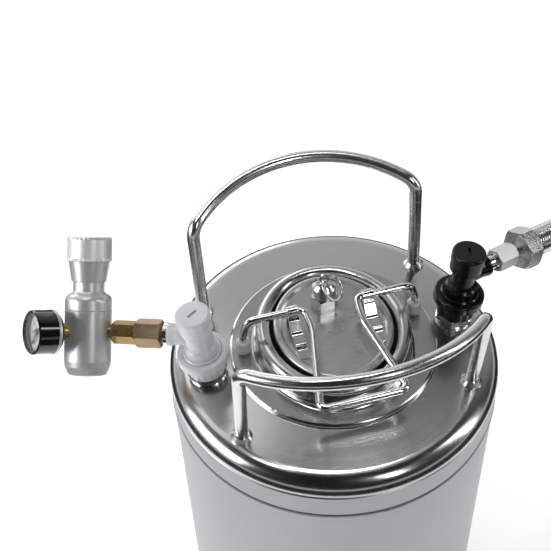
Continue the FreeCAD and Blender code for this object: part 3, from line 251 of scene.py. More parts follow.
class Effects:
    """The shared surface effects, each built once as a node group."""

    def __init__(self) -> None:
        """Builds every group."""
        self.turned = self._turned()
        self.drawn = self._drawn()
        self.haze = self._haze()
        self.scratches = self._scratches()
        self.moulded = self._moulded()

    @staticmethod
    def _noise(
        tree: Tree, vector: bpy.types.NodeSocket, scale: object, detail: float = 2.0
    ) -> bpy.types.NodeSocket:
        """Adds a noise texture and returns its value output."""
        node = tree.add("ShaderNodeTexNoise")
        node.inputs["Detail"].default_value = detail
        tree.join(vector, node.inputs["Vector"])
        if isinstance(scale, bpy.types.NodeSocket):
            tree.join(scale, node.inputs["Scale"])
        else:
            node.inputs["Scale"].default_value = scale
        return node.outputs[0]

    def _turned(self) -> bpy.types.NodeTree:
        """Fine rings that a lathe or a polishing wheel leaves round the local Z axis."""
        tree, given, result = make_group(
            "Turned grain",
            {"Vector": ("Vector", None), "Scale": ("Float", 900.0)},
            {"Mask": "Float", "Coarse": "Float"},
        )
        parts = tree.add("ShaderNodeSeparateXYZ")
        tree.join(given.outputs["Vector"], parts.inputs[0])
        square = tree.math(
            "ADD",
            tree.math("MULTIPLY", parts.outputs[0], parts.outputs[0]),
            tree.math("MULTIPLY", parts.outputs[1], parts.outputs[1]),
        )
        radius = tree.math("SQRT", square)
        ring = tree.add("ShaderNodeCombineXYZ")
        tree.join(radius, ring.inputs[0])
        tree.join(parts.outputs[2], ring.inputs[1])
        soft = tree.add("ShaderNodeVectorMath", operation="SCALE")
        tree.join(given.outputs["Vector"], soft.inputs[0])
        soft.inputs["Scale"].default_value = 0.02
        both = tree.add("ShaderNodeVectorMath", operation="ADD")
        tree.join(ring.outputs[0], both.inputs[0])
        tree.join(soft.outputs[0], both.inputs[1])
        fine = self._noise(tree, both.outputs[0], given.outputs["Scale"], 3.0)
        wide = self._noise(tree, both.outputs[0], tree.math("MULTIPLY", given.outputs["Scale"], 0.17), 1.0)
        tree.join(fine, result.inputs["Mask"])
        tree.join(wide, result.inputs["Coarse"])
        return tree.tree

    def _drawn(self) -> bpy.types.NodeTree:
        """Fine straight strokes along the local X axis."""
        tree, given, result = make_group(
            "Drawn grain",
            {"Vector": ("Vector", None), "Scale": ("Float", 900.0)},
            {"Mask": "Float", "Coarse": "Float"},
        )
        mapping = tree.add("ShaderNodeMapping")
        mapping.inputs["Scale"].default_value = (0.03, 1.0, 1.0)
        tree.join(given.outputs["Vector"], mapping.inputs["Vector"])
        fine = self._noise(tree, mapping.outputs[0], given.outputs["Scale"], 3.0)
        wide = self._noise(tree, mapping.outputs[0], tree.math("MULTIPLY", given.outputs["Scale"], 0.2), 1.0)
        tree.join(fine, result.inputs["Mask"])
        tree.join(wide, result.inputs["Coarse"])
        return tree.tree

    def _haze(self) -> bpy.types.NodeTree:
        """Broad cloudy patches and finger marks, as a mask."""
        tree, given, result = make_group(
            "Handling haze", {"Vector": ("Vector", None), "Scale": ("Float", 18.0)}, {"Mask": "Float"}
        )
        broad = self._noise(tree, given.outputs["Vector"], given.outputs["Scale"], 3.0)
        closer = tree.math("MULTIPLY", given.outputs["Scale"], 6.0)
        spots = self._noise(tree, given.outputs["Vector"], closer, 4.0)
        mixed = tree.math("ADD", tree.math("MULTIPLY", broad, 0.65), tree.math("MULTIPLY", spots, 0.35))
        tree.join(tree.spread(mixed, 0.0, 1.0, 0.38, 0.66), result.inputs["Mask"])
        return tree.tree

    def _scratches(self) -> bpy.types.NodeTree:
        """Sparse hairline scratches in two directions, as a mask."""
        tree, given, result = make_group(
            "Hairlines", {"Vector": ("Vector", None), "Scale": ("Float", 60.0)}, {"Mask": "Float"}
        )
        total = None
        for turn in (0.5, 1.9, 2.7):
            mapping = tree.add("ShaderNodeMapping")
            mapping.inputs["Rotation"].default_value = (0.3 * turn, 0.2, turn)
            mapping.inputs["Scale"].default_value = (0.06, 1.0, 1.0)
            tree.join(given.outputs["Vector"], mapping.inputs["Vector"])
            finer = tree.math("MULTIPLY", given.outputs["Scale"], 8.0)
            lines = self._noise(tree, mapping.outputs[0], finer, 2.0)
            sharp = tree.spread(lines, 0.0, 1.0, 0.69, 0.75)
            total = sharp if total is None else tree.math("MAXIMUM", total, sharp)
        tree.join(total, result.inputs["Mask"])
        return tree.tree

    def _moulded(self) -> bpy.types.NodeTree:
        """The faint orange peel and flow marks of a moulded plastic, as a height and a mask."""
        tree, given, result = make_group(
            "Moulded skin",
            {"Vector": ("Vector", None), "Scale": ("Float", 700.0)},
            {"Height": "Float", "Mask": "Float"},
        )
        peel = self._noise(tree, given.outputs["Vector"], given.outputs["Scale"], 2.0)
        wider = tree.math("MULTIPLY", given.outputs["Scale"], 0.08)
        flow = self._noise(tree, given.outputs["Vector"], wider, 3.0)
        tree.join(peel, result.inputs["Height"])
        tree.join(tree.spread(flow, 0.0, 1.0, 0.35, 0.65), result.inputs["Mask"])
        return tree.tree


class Grain(Enum):
    """How a metal surface was worked."""

    TURNED = "turned"
    DRAWN = "drawn"


# ---- finishes ---------------------------------------------------------------------
def start_material(name: str) -> tuple[bpy.types.Material, Tree, bpy.types.Node]:
    """Starts a material.

    Args:
        name: The material's name.

    Returns:
        The material, its tree and its shader.
    """
    material = bpy.data.materials.new(name)
    material.use_nodes = True
    return material, Tree(material.node_tree), material.node_tree.nodes["Principled BSDF"]


def shades(color: Rgb, tone: float) -> tuple[Rgb, Rgb]:
    """The darkest and the lightest shade of a colour.

    Args:
        color: The colour.
        tone: Share by which the shades differ from it.

    Returns:
        The darkest and the lightest shade.
    """
    return tuple(c * (1 - tone) for c in color), tuple(min(1.0, c * (1 + tone)) for c in color)


@dataclass(frozen=True)
class Metal:
    """A worked metal surface.

    The grain runs round the local Z axis of `place` where it is turned, and along its X axis
    where it is drawn. Roughness wanders from `rough` by `rough_spread`.
    """

    name: str
    color: Rgb
    rough: float
    rough_spread: float = 0.06
    grain: Grain = Grain.TURNED
    grain_scale: float = 900.0
    grain_depth: float = 0.00002
    haze: float = 0.08
    haze_scale: float = 18.0
    hairlines: float = 0.06
    tone: float = 0.05
    anisotropy: float = 0.0
    metallic: float = 1.0
    place: Matrix | None = None
    mask_low: float = 0.3
    mask_high: float = 0.7
    bump: float = 0.6

    def build(self, effects: Effects) -> bpy.types.Material:
        """Makes the material.

        Args:
            effects: The shared node groups.

        Returns:
            The new material.
        """
        material, tree, shader = start_material(self.name)
        shader.inputs["Metallic"].default_value = self.metallic
        shader.inputs["Anisotropic"].default_value = self.anisotropy
        vector = local_vector(tree, self.place)
        worked = effects.turned if self.grain is Grain.TURNED else effects.drawn
        grain = tree.place(worked, vector, Scale=self.grain_scale)
        haze = tree.place(effects.haze, vector, Scale=self.haze_scale)
        lines = tree.place(effects.scratches, vector)
        dark, light = shades(self.color, self.tone)
        tree.join(tree.blend(grain.outputs["Coarse"], dark, light), shader.inputs["Base Color"])
        smooth, coarse = self.rough - self.rough_spread, self.rough + self.rough_spread
        rough = tree.spread(grain.outputs["Mask"], smooth, coarse, self.mask_low, self.mask_high)
        rough = tree.math("ADD", rough, tree.math("MULTIPLY", haze.outputs["Mask"], self.haze))
        rough = tree.math("ADD", rough, tree.math("MULTIPLY", lines.outputs["Mask"], self.hairlines), True)
        tree.join(rough, shader.inputs["Roughness"])
        bump = tree.add("ShaderNodeBump")
        bump.inputs["Distance"].default_value = self.grain_depth
        bump.inputs["Strength"].default_value = self.bump
        tree.join(grain.outputs["Mask"], bump.inputs["Height"])
        tree.join(bump.outputs[0], shader.inputs["Normal"])
        return material


@dataclass(frozen=True)
class Plastic:
    """A moulded plastic or rubber."""

    name: str
    color: Rgb
    rough: float
    rough_spread: float = 0.05
    tone: float = 0.04
    peel_scale: float = 700.0
    peel_depth: float = 0.00003
    coat: float = 0.0
    subsurface: float = 0.0
    specular: float = 0.5
    coat_rough: float = 0.08
    glow_depth: float = 2.0 * MM
    bump: float = 0.5

    def build(self, effects: Effects) -> bpy.types.Material:
        """Makes the material.

        Args:
            effects: The shared node groups.

        Returns:
            The new material.
        """
        material, tree, shader = start_material(self.name)
        shader.inputs["Specular IOR Level"].default_value = self.specular
        shader.inputs["Coat Weight"].default_value = self.coat
        shader.inputs["Coat Roughness"].default_value = self.coat_rough
        shader.inputs["Subsurface Weight"].default_value = self.subsurface
        shader.inputs["Subsurface Radius"].default_value = (self.glow_depth,) * 3
        shader.inputs["Subsurface Scale"].default_value = 1.0
        skin = tree.place(effects.moulded, local_vector(tree, None), Scale=self.peel_scale)
        dark, light = shades(self.color, self.tone)
        tree.join(tree.blend(skin.outputs["Mask"], dark, light), shader.inputs["Base Color"])
        smooth, coarse = self.rough - self.rough_spread, self.rough + self.rough_spread
        tree.join(tree.spread(skin.outputs["Mask"], smooth, coarse), shader.inputs["Roughness"])
        bump = tree.add("ShaderNodeBump")
        bump.inputs["Distance"].default_value = self.peel_depth
        bump.inputs["Strength"].default_value = self.bump
        tree.join(skin.outputs["Height"], bump.inputs["Height"])
        tree.join(bump.outputs[0], shader.inputs["Normal"])
        return material


@dataclass(frozen=True)
class Window:
    """A clear pane."""

    name: str
    color: Rgb
    rough: float = 0.02
    smear: float = 0.03
    index: float = 1.3

    def build(self, effects: Effects) -> bpy.types.Material:
        """Makes the material.

        Args:
            effects: The shared node groups.

        Returns:
            The new material.
        """
        material, tree, shader = start_material(self.name)
        shader.inputs["Transmission Weight"].default_value = 1.0
        shader.inputs["IOR"].default_value = self.index
        shader.inputs["Base Color"].default_value = (*self.color, 1.0)
        haze = tree.place(effects.haze, local_vector(tree, None))
        smeared = tree.spread(haze.outputs["Mask"], self.rough, self.rough + self.smear)
        tree.join(smeared, shader.inputs["Roughness"])
        return material


def local_vector(tree: Tree, place: Matrix | None) -> bpy.types.NodeSocket:
    """Object coordinates, in a piece's own placement where it has one.

    Args:
        tree: The material's tree.
        place: The piece's placement, or None for the model's own axes.

    Returns:
        The vector to feed to a pattern.
    """
    source = tree.add("ShaderNodeTexCoord").outputs["Object"]
    if place is None:
        return source
    mapping = tree.add("ShaderNodeMapping", vector_type="TEXTURE")
    mapping.inputs["Location"].default_value = place.to_translation()
    mapping.inputs["Rotation"].default_value = place.to_euler("XYZ")
    tree.join(source, mapping.inputs["Vector"])
    return mapping.outputs[0]


# ---- modelling helpers ------------------------------------------------------------
def clear_selection() -> None:
    """Leaves nothing selected."""
    if bpy.context.object and bpy.context.object.mode != "OBJECT":
        bpy.ops.object.mode_set(mode="OBJECT")
    bpy.ops.object.select_all(action="DESELECT")


def pick(piece: bpy.types.Object, kind: str, test: Callable[[Vector, Vector], bool]) -> None:
    """Selects the parts of a mesh that pass a test, and opens edit mode in that select mode.

    Args:
        piece: The mesh to select in, as the active object.
        kind: VERT, EDGE or FACE.
        test: Takes a place and a direction. For a vertex or a face that is its place and normal,
            and for an edge its middle and direction.
    """
    if bpy.context.object.mode != "EDIT":
        bpy.ops.object.mode_set(mode="EDIT")
    bpy.ops.mesh.select_mode(type=kind)
    bpy.ops.mesh.select_all(action="DESELECT")
    bpy.ops.object.mode_set(mode="OBJECT")
    mesh = piece.data
    if kind == "FACE":
        for face in mesh.polygons:
            face.select = test(face.center, face.normal)
    elif kind == "EDGE":
        for edge in mesh.edges:
            first, second = (mesh.vertices[i].co for i in edge.vertices)
            edge.select = test((first + second) / 2, (second - first).normalized())
    else:
        for vertex in mesh.vertices:
            vertex.select = test(vertex.co, vertex.normal)
    bpy.ops.object.mode_set(mode="EDIT")


def settle(piece: bpy.types.Object, name: str, place: Matrix, smooth: float = 35.0) -> None:
    """Applies a placement to a mesh and leaves its object at the origin.

    Args:
        piece: The active object.
        name: The piece's name.
        place: Where the piece goes.
        smooth: Angle in degrees under which faces are shaded smooth.
    """
    if piece.mode != "OBJECT":
        bpy.ops.object.mode_set(mode="OBJECT")
    piece.name = name
    piece.data.name = name
    piece.data.transform(place @ piece.matrix_world)
    piece.matrix_world = Matrix.Identity(4)
    clear_selection()
    piece.select_set(True)
    bpy.context.view_layer.objects.active = piece
    bpy.ops.object.shade_smooth_by_angle(angle=math.radians(smooth))
    clear_selection()


def apply_modifiers(piece: bpy.types.Object) -> None:
    """Applies every modifier of the active piece in order."""
    if piece.mode != "OBJECT":
        bpy.ops.object.mode_set(mode="OBJECT")
    for modifier in list(piece.modifiers):
        bpy.ops.object.modifier_apply(modifier=modifier.name)


def spans(node: str, line: Line) -> tuple[tuple[float, float], float]:
    """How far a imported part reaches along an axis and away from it.

    Args:
        node: The part's name.
        line: The axis.

    Returns:
        The lowest and highest distance along the axis, and the largest radius.
    """
    ways = [corner.co - line.origin for corner in frame["nodes"][node].data.vertices]
    along = [way.dot(line.along) for way in ways]
    radius = max((way - line.along * far).length for way, far in zip(ways, along))
    return (min(along), max(along)), radius


def dress(piece: bpy.types.Object, material: bpy.types.Material) -> None:
    """Gives a piece one material."""
    piece.data.materials.clear()
    piece.data.materials.append(material)


def paint(nodes: list[str], material: bpy.types.Material) -> None:
    """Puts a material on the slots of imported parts.

    Args:
        nodes: Names of the parts.
        material: Their new material.
    """
    for name in nodes:
        part = frame["nodes"][name]
        if not part.material_slots:
            part.data.materials.append(material)
        for slot in part.material_slots:
            slot.material = material
    log.info("painted %s with %s", ", ".join(nodes), material.name)


# ---- sub-assemblies -----------------------------------------------------------------
@dataclass
class Vessel:
    """The shell, heads, stand ring and handles."""

    effects: Effects
    shell: Metal = Metal(
        "Satin shell", (0.36, 0.36, 0.38), 0.33, 0.04, grain_scale=3200.0, haze=0.04, haze_scale=9.0,
        grain_depth=0.000003, tone=0.02, anisotropy=0.3,
    )
    head: Metal = Metal(
        "Buffed head", (0.56, 0.56, 0.55), 0.18, 0.02, grain_scale=2600.0, haze=0.05, hairlines=0.05,
        grain_depth=0.000001, tone=0.025,
    )
    bar: Metal = Metal(
        "Polished bar", (0.72, 0.72, 0.712), 0.20, 0.03, Grain.DRAWN, 3000.0, 0.000001, haze=0.06, tone=0.03,
    )
    seam_turn: float = 140.0
    seam_facets: int = 720
    seam_width: float = 3.2 * MM
    seam_proud: float = 0.15 * MM
    seam_ripple: float = 1.6 * MM
    seam_margin: float = 14.0 * MM

    def build(self) -> None:
        """Dresses the vessel and models its weld."""
        satin = self.shell.build(self.effects)
        paint(["shell", "base_skirt", "bottom_dome"], satin)
        paint(["top_dome"], self.head.build(self.effects))
        paint(["front_handle", "rear_handle"], self.bar.build(self.effects))
        self._seam(satin)

    def _seam(self, material: bpy.types.Material) -> None:
        """Models the planished weld that closes the rolled shell.

        Args:
            material: The weld's finish.
        """
        axis = Line(Vector((0, 0, 0)), Vector((0, 0, 1)))
        (low, high), radius = spans("shell", axis)
        low, high = low + self.seam_margin, high - self.seam_margin
        clear_selection()
        bpy.ops.mesh.primitive_cylinder_add(
            vertices=self.seam_facets, radius=radius, depth=high - low, end_fill_type="NOTHING",
            location=(0, 0, (low + high) / 2),
        )
        seam = bpy.context.object
        bpy.ops.object.transform_apply(location=True)
        turn, half = math.radians(self.seam_turn), self.seam_width / 2 / radius
        pick(seam, "FACE", lambda middle, normal: abs(math.atan2(middle.y, middle.x) - turn) > half)
        bpy.ops.mesh.delete(type="FACE")
        pick(seam, "EDGE", lambda middle, way: abs(way.z) > UPRIGHT)
        rows = int((high - low) / self.seam_ripple)
        bpy.ops.mesh.subdivide(number_cuts=rows)
        step = (high - low) / (rows + 1)
        pick(seam, "VERT", lambda at, normal: round((at.z - low) / step) % 2 == 0)
        grown = 1 + self.seam_proud / 2 / radius
        bpy.ops.transform.resize(value=(grown, grown, 1), center_override=(0, 0, 0))
        bpy.ops.object.mode_set(mode="OBJECT")
        wall = seam.modifiers.new("wall", "SOLIDIFY")
        wall.thickness = self.seam_proud
        wall.offset = 1.0
        apply_modifiers(seam)
        settle(seam, "shell_weld", Matrix.Identity(4), 40.0)
        dress(seam, material)
        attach(seam, "keg")
        log.info("shell_weld")


@dataclass
class Lid:
    """The oval lid, its bail and its relief valve."""

    effects: Effects
    plate: Metal = Metal(
        "Satin lid", (0.50, 0.50, 0.492), 0.26, 0.03, Grain.DRAWN, 3500.0, 0.0000015, haze=0.07, tone=0.03,
    )
    wire: Metal = Metal(
        "Polished wire", (0.74, 0.74, 0.735), 0.11, 0.03, Grain.DRAWN, 3500.0, 0.000001, haze=0.05, tone=0.03,
    )
    foot: Plastic = Plastic("Natural foot", (0.80, 0.80, 0.82), 0.32, subsurface=0.35)
    rubber: Plastic = Plastic("Black rubber", (0.02, 0.02, 0.02), 0.62, peel_depth=0.00006, specular=0.3)
    turned_color: Rgb = (0.70, 0.70, 0.70)
    coil_wire: float = 0.4 * MM
    coil_turns: int = 6
    coil_sides: int = 12
    coil_steps: int = 32
    relief_travel: float = 3.0 * MM

    def build(self) -> None:
        """Dresses the lid and models the relief valve's spring."""
        lift = Line(Vector((0, Line.of_joint("relief_ring_swing").origin.y, 0)), Vector((0, 0, 1)))
        turned = Metal(
            "Turned steel, relief valve", self.turned_color, 0.18, 0.05, grain_scale=6000.0,
            grain_depth=0.000002, place=lift.matrix(Vector((0, 1, 0))),
        )
        paint(["lid"], self.plate.build(self.effects))
        paint(["bail_wire", "bail_brackets", "relief_valve_ring"], self.wire.build(self.effects))
        paint(["bail_feet"], self.foot.build(self.effects))
        valve = ["body", "nut", "cap", "stem", "spring"]
        paint([f"relief_valve_{name}" for name in valve], turned.build(self.effects))
        paint(["lid_gasket", "relief_valve_seal", "post_seals"], self.rubber.build(self.effects))
        self._relief_coil(lift)

    def _relief_coil(self, axis: Line) -> None:
        """Models the relief valve's coil spring.

        Args:
            axis: The valve's own axis.
        """
        material = Metal(
            "Spring wire", self.turned_color, 0.22, grain=Grain.DRAWN, grain_scale=3000.0, grain_depth=0.000001
        ).build(self.effects)
        (low, high), reach = spans("relief_valve_spring", axis)
        radius = reach - self.coil_wire
        clear_selection()
        bpy.ops.mesh.primitive_circle_add(
            vertices=self.coil_sides, radius=self.coil_wire, fill_type="NOTHING",
            location=(radius, 0, low + self.coil_wire), rotation=(math.pi / 2, 0, 0),
        )
        coil = bpy.context.object
        bpy.ops.object.transform_apply(location=True, rotation=True)
        turns = coil.modifiers.new("turns", "SCREW")
        turns.axis = "Z"
        turns.angle = math.tau
        turns.iterations = self.coil_turns
        turns.screw_offset = (high - low - 2 * self.coil_wire) / self.coil_turns
        turns.steps = turns.render_steps = self.coil_steps
        apply_modifiers(coil)
        pick(coil, "VERT", lambda at, normal: True)
        bpy.ops.mesh.remove_doubles(threshold=0.00001 * MM)
        bpy.ops.mesh.select_mode(type="EDGE")
        bpy.ops.mesh.select_all(action="DESELECT")
        bpy.ops.mesh.select_non_manifold()
        bpy.ops.mesh.edge_face_add()
        bpy.ops.mesh.select_all(action="SELECT")
        bpy.ops.mesh.normals_make_consistent(inside=False)
        settle(coil, "relief_coil", Matrix.Translation(axis.origin), 60.0)
        dress(coil, material)
        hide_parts("relief_valve_spring")
        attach(coil, "lid")
        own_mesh(coil)
        log.info("relief_coil")


@dataclass
class Disconnect:
    """One side's post and quick disconnect.

    `side` is gas or liquid; `plastic` is the finish of its mouldings.
    """

    effects: Effects
    side: str
    plastic: Plastic
    steel_color: Rgb = (0.72, 0.72, 0.715)
    rubber_color: Rgb = (0.03, 0.03, 0.03)

    def build(self) -> None:
        """Dresses the post and the disconnect."""
        post = Line.of_joint(f"{self.side}_disconnect_turn")
        steel = Metal(
            f"Turned steel, {self.side} post", self.steel_color, 0.16, 0.05, grain_scale=6000.0,
            grain_depth=0.000002, place=post.matrix(),
        )
        bright = steel.build(self.effects)
        works = ["lock_balls", "collar_spring", "pin_spring", "flare_stem"]
        post_parts = ["post", "poppet", "dip_tube", "disconnect_pin"]
        paint([f"{self.side}_{name}" for name in post_parts + works], bright)
        if self.side == "gas":
            paint(["post_sockets", "poppet_springs"], bright)
        mouldings = ["disconnect_body", "disconnect_cap", "collar"]
        paint([f"{self.side}_{name}" for name in mouldings], self.plastic.build(self.effects))
        rubber = Plastic(f"Seal rubber, {self.side}", self.rubber_color, 0.6)
        paint([f"{self.side}_disconnect_seal"], rubber.build(self.effects))


@dataclass
class Regulator:
    """The mini gas regulator, its knob and its gauge. Dial angles are in degrees from its top."""

    effects: Effects
    aluminium_color: Rgb = (0.62, 0.62, 0.62)
    knob_color: Rgb = (0.84, 0.84, 0.84)
    brass_color: Rgb = (0.42, 0.29, 0.12)
    nut_color: Rgb = (0.46, 0.34, 0.22)
    knob_height: float = 14.6 * MM
    knob_rows: int = 9
    knob_teeth: int = 64
    knob_depth: float = 0.8 * MM
    rim_width: float = 1.1 * MM
    rim_rise: float = 0.5 * MM
    dish_width: float = 1.6 * MM
    dish_drop: float = 0.35 * MM
    skirt_width: float = 0.8 * MM
    skirt_drop: float = 0.2 * MM
    dial_sweep: float = 270.0
    dial_facets: int = 360
    long_marks: int = 6
    short_marks: int = 30
    mark_turn: float = 1.0 + 1e-6
    mark_limit: float = 135.6
    red_start: float = 90.0
    number_step: int = 10
    print_depth: float = 0.08 * MM
    mark_inner: float = 8.6 * MM
    mark_middle: float = 9.6 * MM
    mark_outer: float = 10.6 * MM
    arc_inner: float = 10.8 * MM
    arc_outer: float = 12.0 * MM
    number_radius: float = 7.2 * MM
    number_size: float = 2.3 * MM
    band_from_back: float = 2.4 * MM
    band_width: float = 1.8 * MM
    band_proud: float = 0.25 * MM
    band_seat: float = 0.3 * MM
    band_edge: float = 0.12 * MM
    band_facets: int = 96
    axis: Line = field(default_factory=lambda: Line.of_joint("knob_turn"))
    gauge: Line = field(default_factory=lambda: Line.of_joint("needle_swing").flipped())

    def build(self) -> None:
        """Dresses the regulator and models its knob and its dial print."""
        place = self.axis.matrix()
        body = Metal(
            "Turned aluminium", self.aluminium_color, 0.34, 0.04, grain_scale=7000.0, grain_depth=0.000002,
            haze=0.04, hairlines=0.02, tone=0.02, anisotropy=0.25, metallic=0.55, place=place,
        ).build(self.effects)
        paint([f"regulator_{name}" for name in ("body", "bonnet", "knob", "plate", "spring")], body)
        grip = Metal("Knurled aluminium", self.knob_color, 0.40, 0.05, haze=0.05, metallic=0.45, place=place)
        self._knob(grip.build(self.effects))
        self._dial_print()
        self._case_band(body)
        out = Line.of_joint("regulator_roll").matrix()
        brass = Metal(
            "Machined brass", self.brass_color, 0.24, 0.06, grain_scale=5000.0, grain_depth=0.000004, haze=0.1,
            haze_scale=80.0, tone=0.08, place=out,
        ).build(self.effects)
        nut = Metal(
            "Worn brass nut", self.nut_color, 0.32, 0.08, Grain.DRAWN, 2600.0, 0.00001, haze=0.14,
            haze_scale=90.0, tone=0.14, place=out,
        ).build(self.effects)
        paint(["regulator_outlet", "gauge_stem"], brass)
        paint(["gas_swivel_nut"], nut)
        black = Plastic("Gloss black case", (0.006, 0.006, 0.007), 0.12, 0.04, coat=0.6).build(self.effects)
        paint(["gauge_case", "gauge_needle"], black)
        paint(["gauge_dial"], Plastic("Printed dial", (0.86, 0.87, 0.88), 0.45).build(self.effects))
        paint(["gauge_lens"], Window("Gauge window", (0.97, 0.98, 1.0)).build(self.effects))
        diaphragm = Plastic("Diaphragm rubber", (0.03, 0.03, 0.03), 0.6).build(self.effects)
        paint(["regulator_diaphragm"], diaphragm)

    def _knob(self, material: bpy.types.Material) -> None:
        """Models the knob's knurled grip, which stands for the plain one.

        Args:
            material: The knob's finish.
        """
        place = self.axis.matrix()
        (_, high), radius = spans("regulator_knob", self.axis)
        low = high - self.knob_height
        clear_selection()
        bpy.ops.mesh.primitive_cylinder_add(
            vertices=self.knob_teeth, radius=radius, depth=high - low, location=(0, 0, (high + low) / 2)
        )
        knob = bpy.context.object
        bpy.ops.object.transform_apply(location=True)
        pick(knob, "EDGE", lambda middle, way: abs(way.z) > UPRIGHT)
        bpy.ops.mesh.subdivide(number_cuts=self.knob_rows)
        step = (high - low) / (self.knob_rows + 1)

        def sunk(at: Vector, normal: Vector) -> bool:
            """Whether a point lies in the bottom of a cut of the diamond knurl."""
            row = round((at.z - low) / step)
            tooth = round(math.atan2(at.y, at.x) / math.tau * self.knob_teeth)
            return 0 < row < self.knob_rows + 1 and (row + tooth) % 2 == 0

        pick(knob, "VERT", sunk)
        shrunk = 1 - self.knob_depth / radius
        bpy.ops.transform.resize(value=(shrunk, shrunk, 1))
        pick(knob, "FACE", lambda middle, normal: normal.z > UPRIGHT)
        bpy.ops.mesh.inset(thickness=self.rim_width)
        bpy.ops.transform.translate(value=(0, 0, self.rim_rise))
        bpy.ops.mesh.inset(thickness=self.dish_width)
        bpy.ops.transform.translate(value=(0, 0, -self.dish_drop))
        pick(knob, "FACE", lambda middle, normal: normal.z < -UPRIGHT)
        bpy.ops.mesh.inset(thickness=self.skirt_width)
        bpy.ops.transform.translate(value=(0, 0, -self.skirt_drop))
        settle(knob, "knurled_knob", place, 20.0)
        dress(knob, material)
        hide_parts("regulator_knob")
        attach(knob, "regulator_knob")
        log.info("knurled_knob")

    def _is_mark(self, angle: float, count: int) -> bool:
        """Whether one of a number of evenly spaced marks covers an angle of the dial."""
        past = (angle + self.dial_sweep / 2) % (self.dial_sweep / count)
        return abs(angle) <= self.mark_limit and past < self.mark_turn

    def _flat_ring(
        self, name: str, inner: float, outer: float, keep: Callable[[float], bool]
    ) -> bpy.types.Object:
        """Models a flat printed ring round the gauge's axis, open where keep says.

        Args:
            name: The piece's name.
            inner: Inner radius.
            outer: Outer radius.
            keep: Takes an angle of the dial and says if the ring is printed there.

        Returns:
            The piece.
        """
        (_, top), _ = spans("gauge_dial", self.gauge)
        clear_selection()
        bpy.ops.mesh.primitive_circle_add(
            vertices=self.dial_facets, radius=outer, fill_type="NOTHING", location=(0, 0, top)
        )
        ring = bpy.context.object
        bpy.ops.object.transform_apply(location=True)
        pick(ring, "VERT", lambda at, normal: True)
        bpy.ops.mesh.extrude_region_move()
        bpy.ops.transform.resize(value=(inner / outer, inner / outer, 1))
        pick(ring, "FACE", lambda middle, normal: not keep(math.degrees(math.atan2(middle.x, middle.y))))
        bpy.ops.mesh.delete(type="FACE")
        bpy.ops.mesh.select_all(action="SELECT")
        bpy.ops.mesh.normals_make_consistent(inside=False)
        bpy.ops.object.mode_set(mode="OBJECT")
        if ring.data.polygons[0].normal.z < 0:
            ring.data.flip_normals()
        layer = ring.modifiers.new("print", "SOLIDIFY")
        layer.thickness = self.print_depth
        layer.offset = 1.0
        apply_modifiers(ring)
        settle(ring, name, self.gauge.matrix(self.axis.along))
        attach(ring, "regulator")
        log.info("%s", name)
        return ring

    def _dial_print(self) -> None:
        """Models the dial's scale, its coloured arcs and its numbers."""
        ink = Plastic("Dial ink", (0.02, 0.02, 0.02), 0.5, peel_depth=0.0).build(self.effects)
        green = Plastic("Dial green", (0.01, 0.20, 0.06), 0.45, peel_depth=0.0).build(self.effects)
        red = Plastic("Dial red", (0.45, 0.02, 0.02), 0.45, peel_depth=0.0).build(self.effects)
        end = self.dial_sweep / 2
        arcs = self.arc_inner, self.arc_outer
        kinds = ("long", self.mark_inner, self.long_marks), ("short", self.mark_middle, self.short_marks)
        for kind, inner, count in kinds:
            keep = partial(self._is_mark, count=count)
            dress(self._flat_ring(f"dial_{kind}_marks", inner, self.mark_outer, keep), ink)
        dress(self._flat_ring("dial_green_arc", *arcs, lambda angle: -end < angle < 0), green)
        dress(self._flat_ring("dial_red_arc", *arcs, lambda angle: self.red_start < angle < end), red)
        for index in range(self.long_marks + 1):
            self._dial_number(index, ink)

    def _dial_number(self, index: int, ink: bpy.types.Material) -> None:
        """Models one of the dial's numbers.

        Args:
            index: Which long mark it stands at, counted from zero.
            ink: The number's finish.
        """
        (_, top), _ = spans("gauge_dial", self.gauge)
        angle = math.radians(self.dial_sweep * index / self.long_marks - self.dial_sweep / 2)
        clear_selection()
        at = (self.number_radius * math.sin(angle), self.number_radius * math.cos(angle), top)
        bpy.ops.object.text_add(location=at)
        number = bpy.context.object
        number.data.body = str(index * self.number_step)
        number.data.size = self.number_size
        number.data.extrude = self.print_depth / 2
        number.data.align_x = "CENTER"
        number.data.align_y = "CENTER"
        number.data.resolution_u = 3
        bpy.ops.object.convert(target="MESH")
        bpy.ops.object.transform_apply(location=True)
        settle(number, f"dial_number_{index}", self.gauge.matrix(self.axis.along))
        dress(number, ink)
        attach(number, "regulator")
        log.info("dial_number_%d", index)

    def _case_band(self, material: bpy.types.Material) -> None:
        """Models the bright band at the back of the gauge's case.

        Args:
            material: The band's finish.
        """
        (back, _), radius = spans("gauge_case", self.gauge)
        middle = back + self.band_from_back + self.band_width / 2
        clear_selection()
        bpy.ops.mesh.primitive_cylinder_add(
            vertices=self.band_facets, radius=radius - self.band_seat, depth=self.band_width,
            end_fill_type="NOTHING", location=(0, 0, middle),
        )
        band = bpy.context.object
        bpy.ops.object.transform_apply(location=True)
        wall = band.modifiers.new("wall", "SOLIDIFY")
        wall.thickness = self.band_proud + self.band_seat
        wall.offset = 1.0
        edge = band.modifiers.new("edge", "BEVEL")
        edge.width = self.band_edge
        edge.segments = 2
        apply_modifiers(band)
        settle(band, "gauge_back_band", self.gauge.matrix(self.axis.along))
        dress(band, material)
        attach(band, "regulator")
        log.info("gauge_back_band")


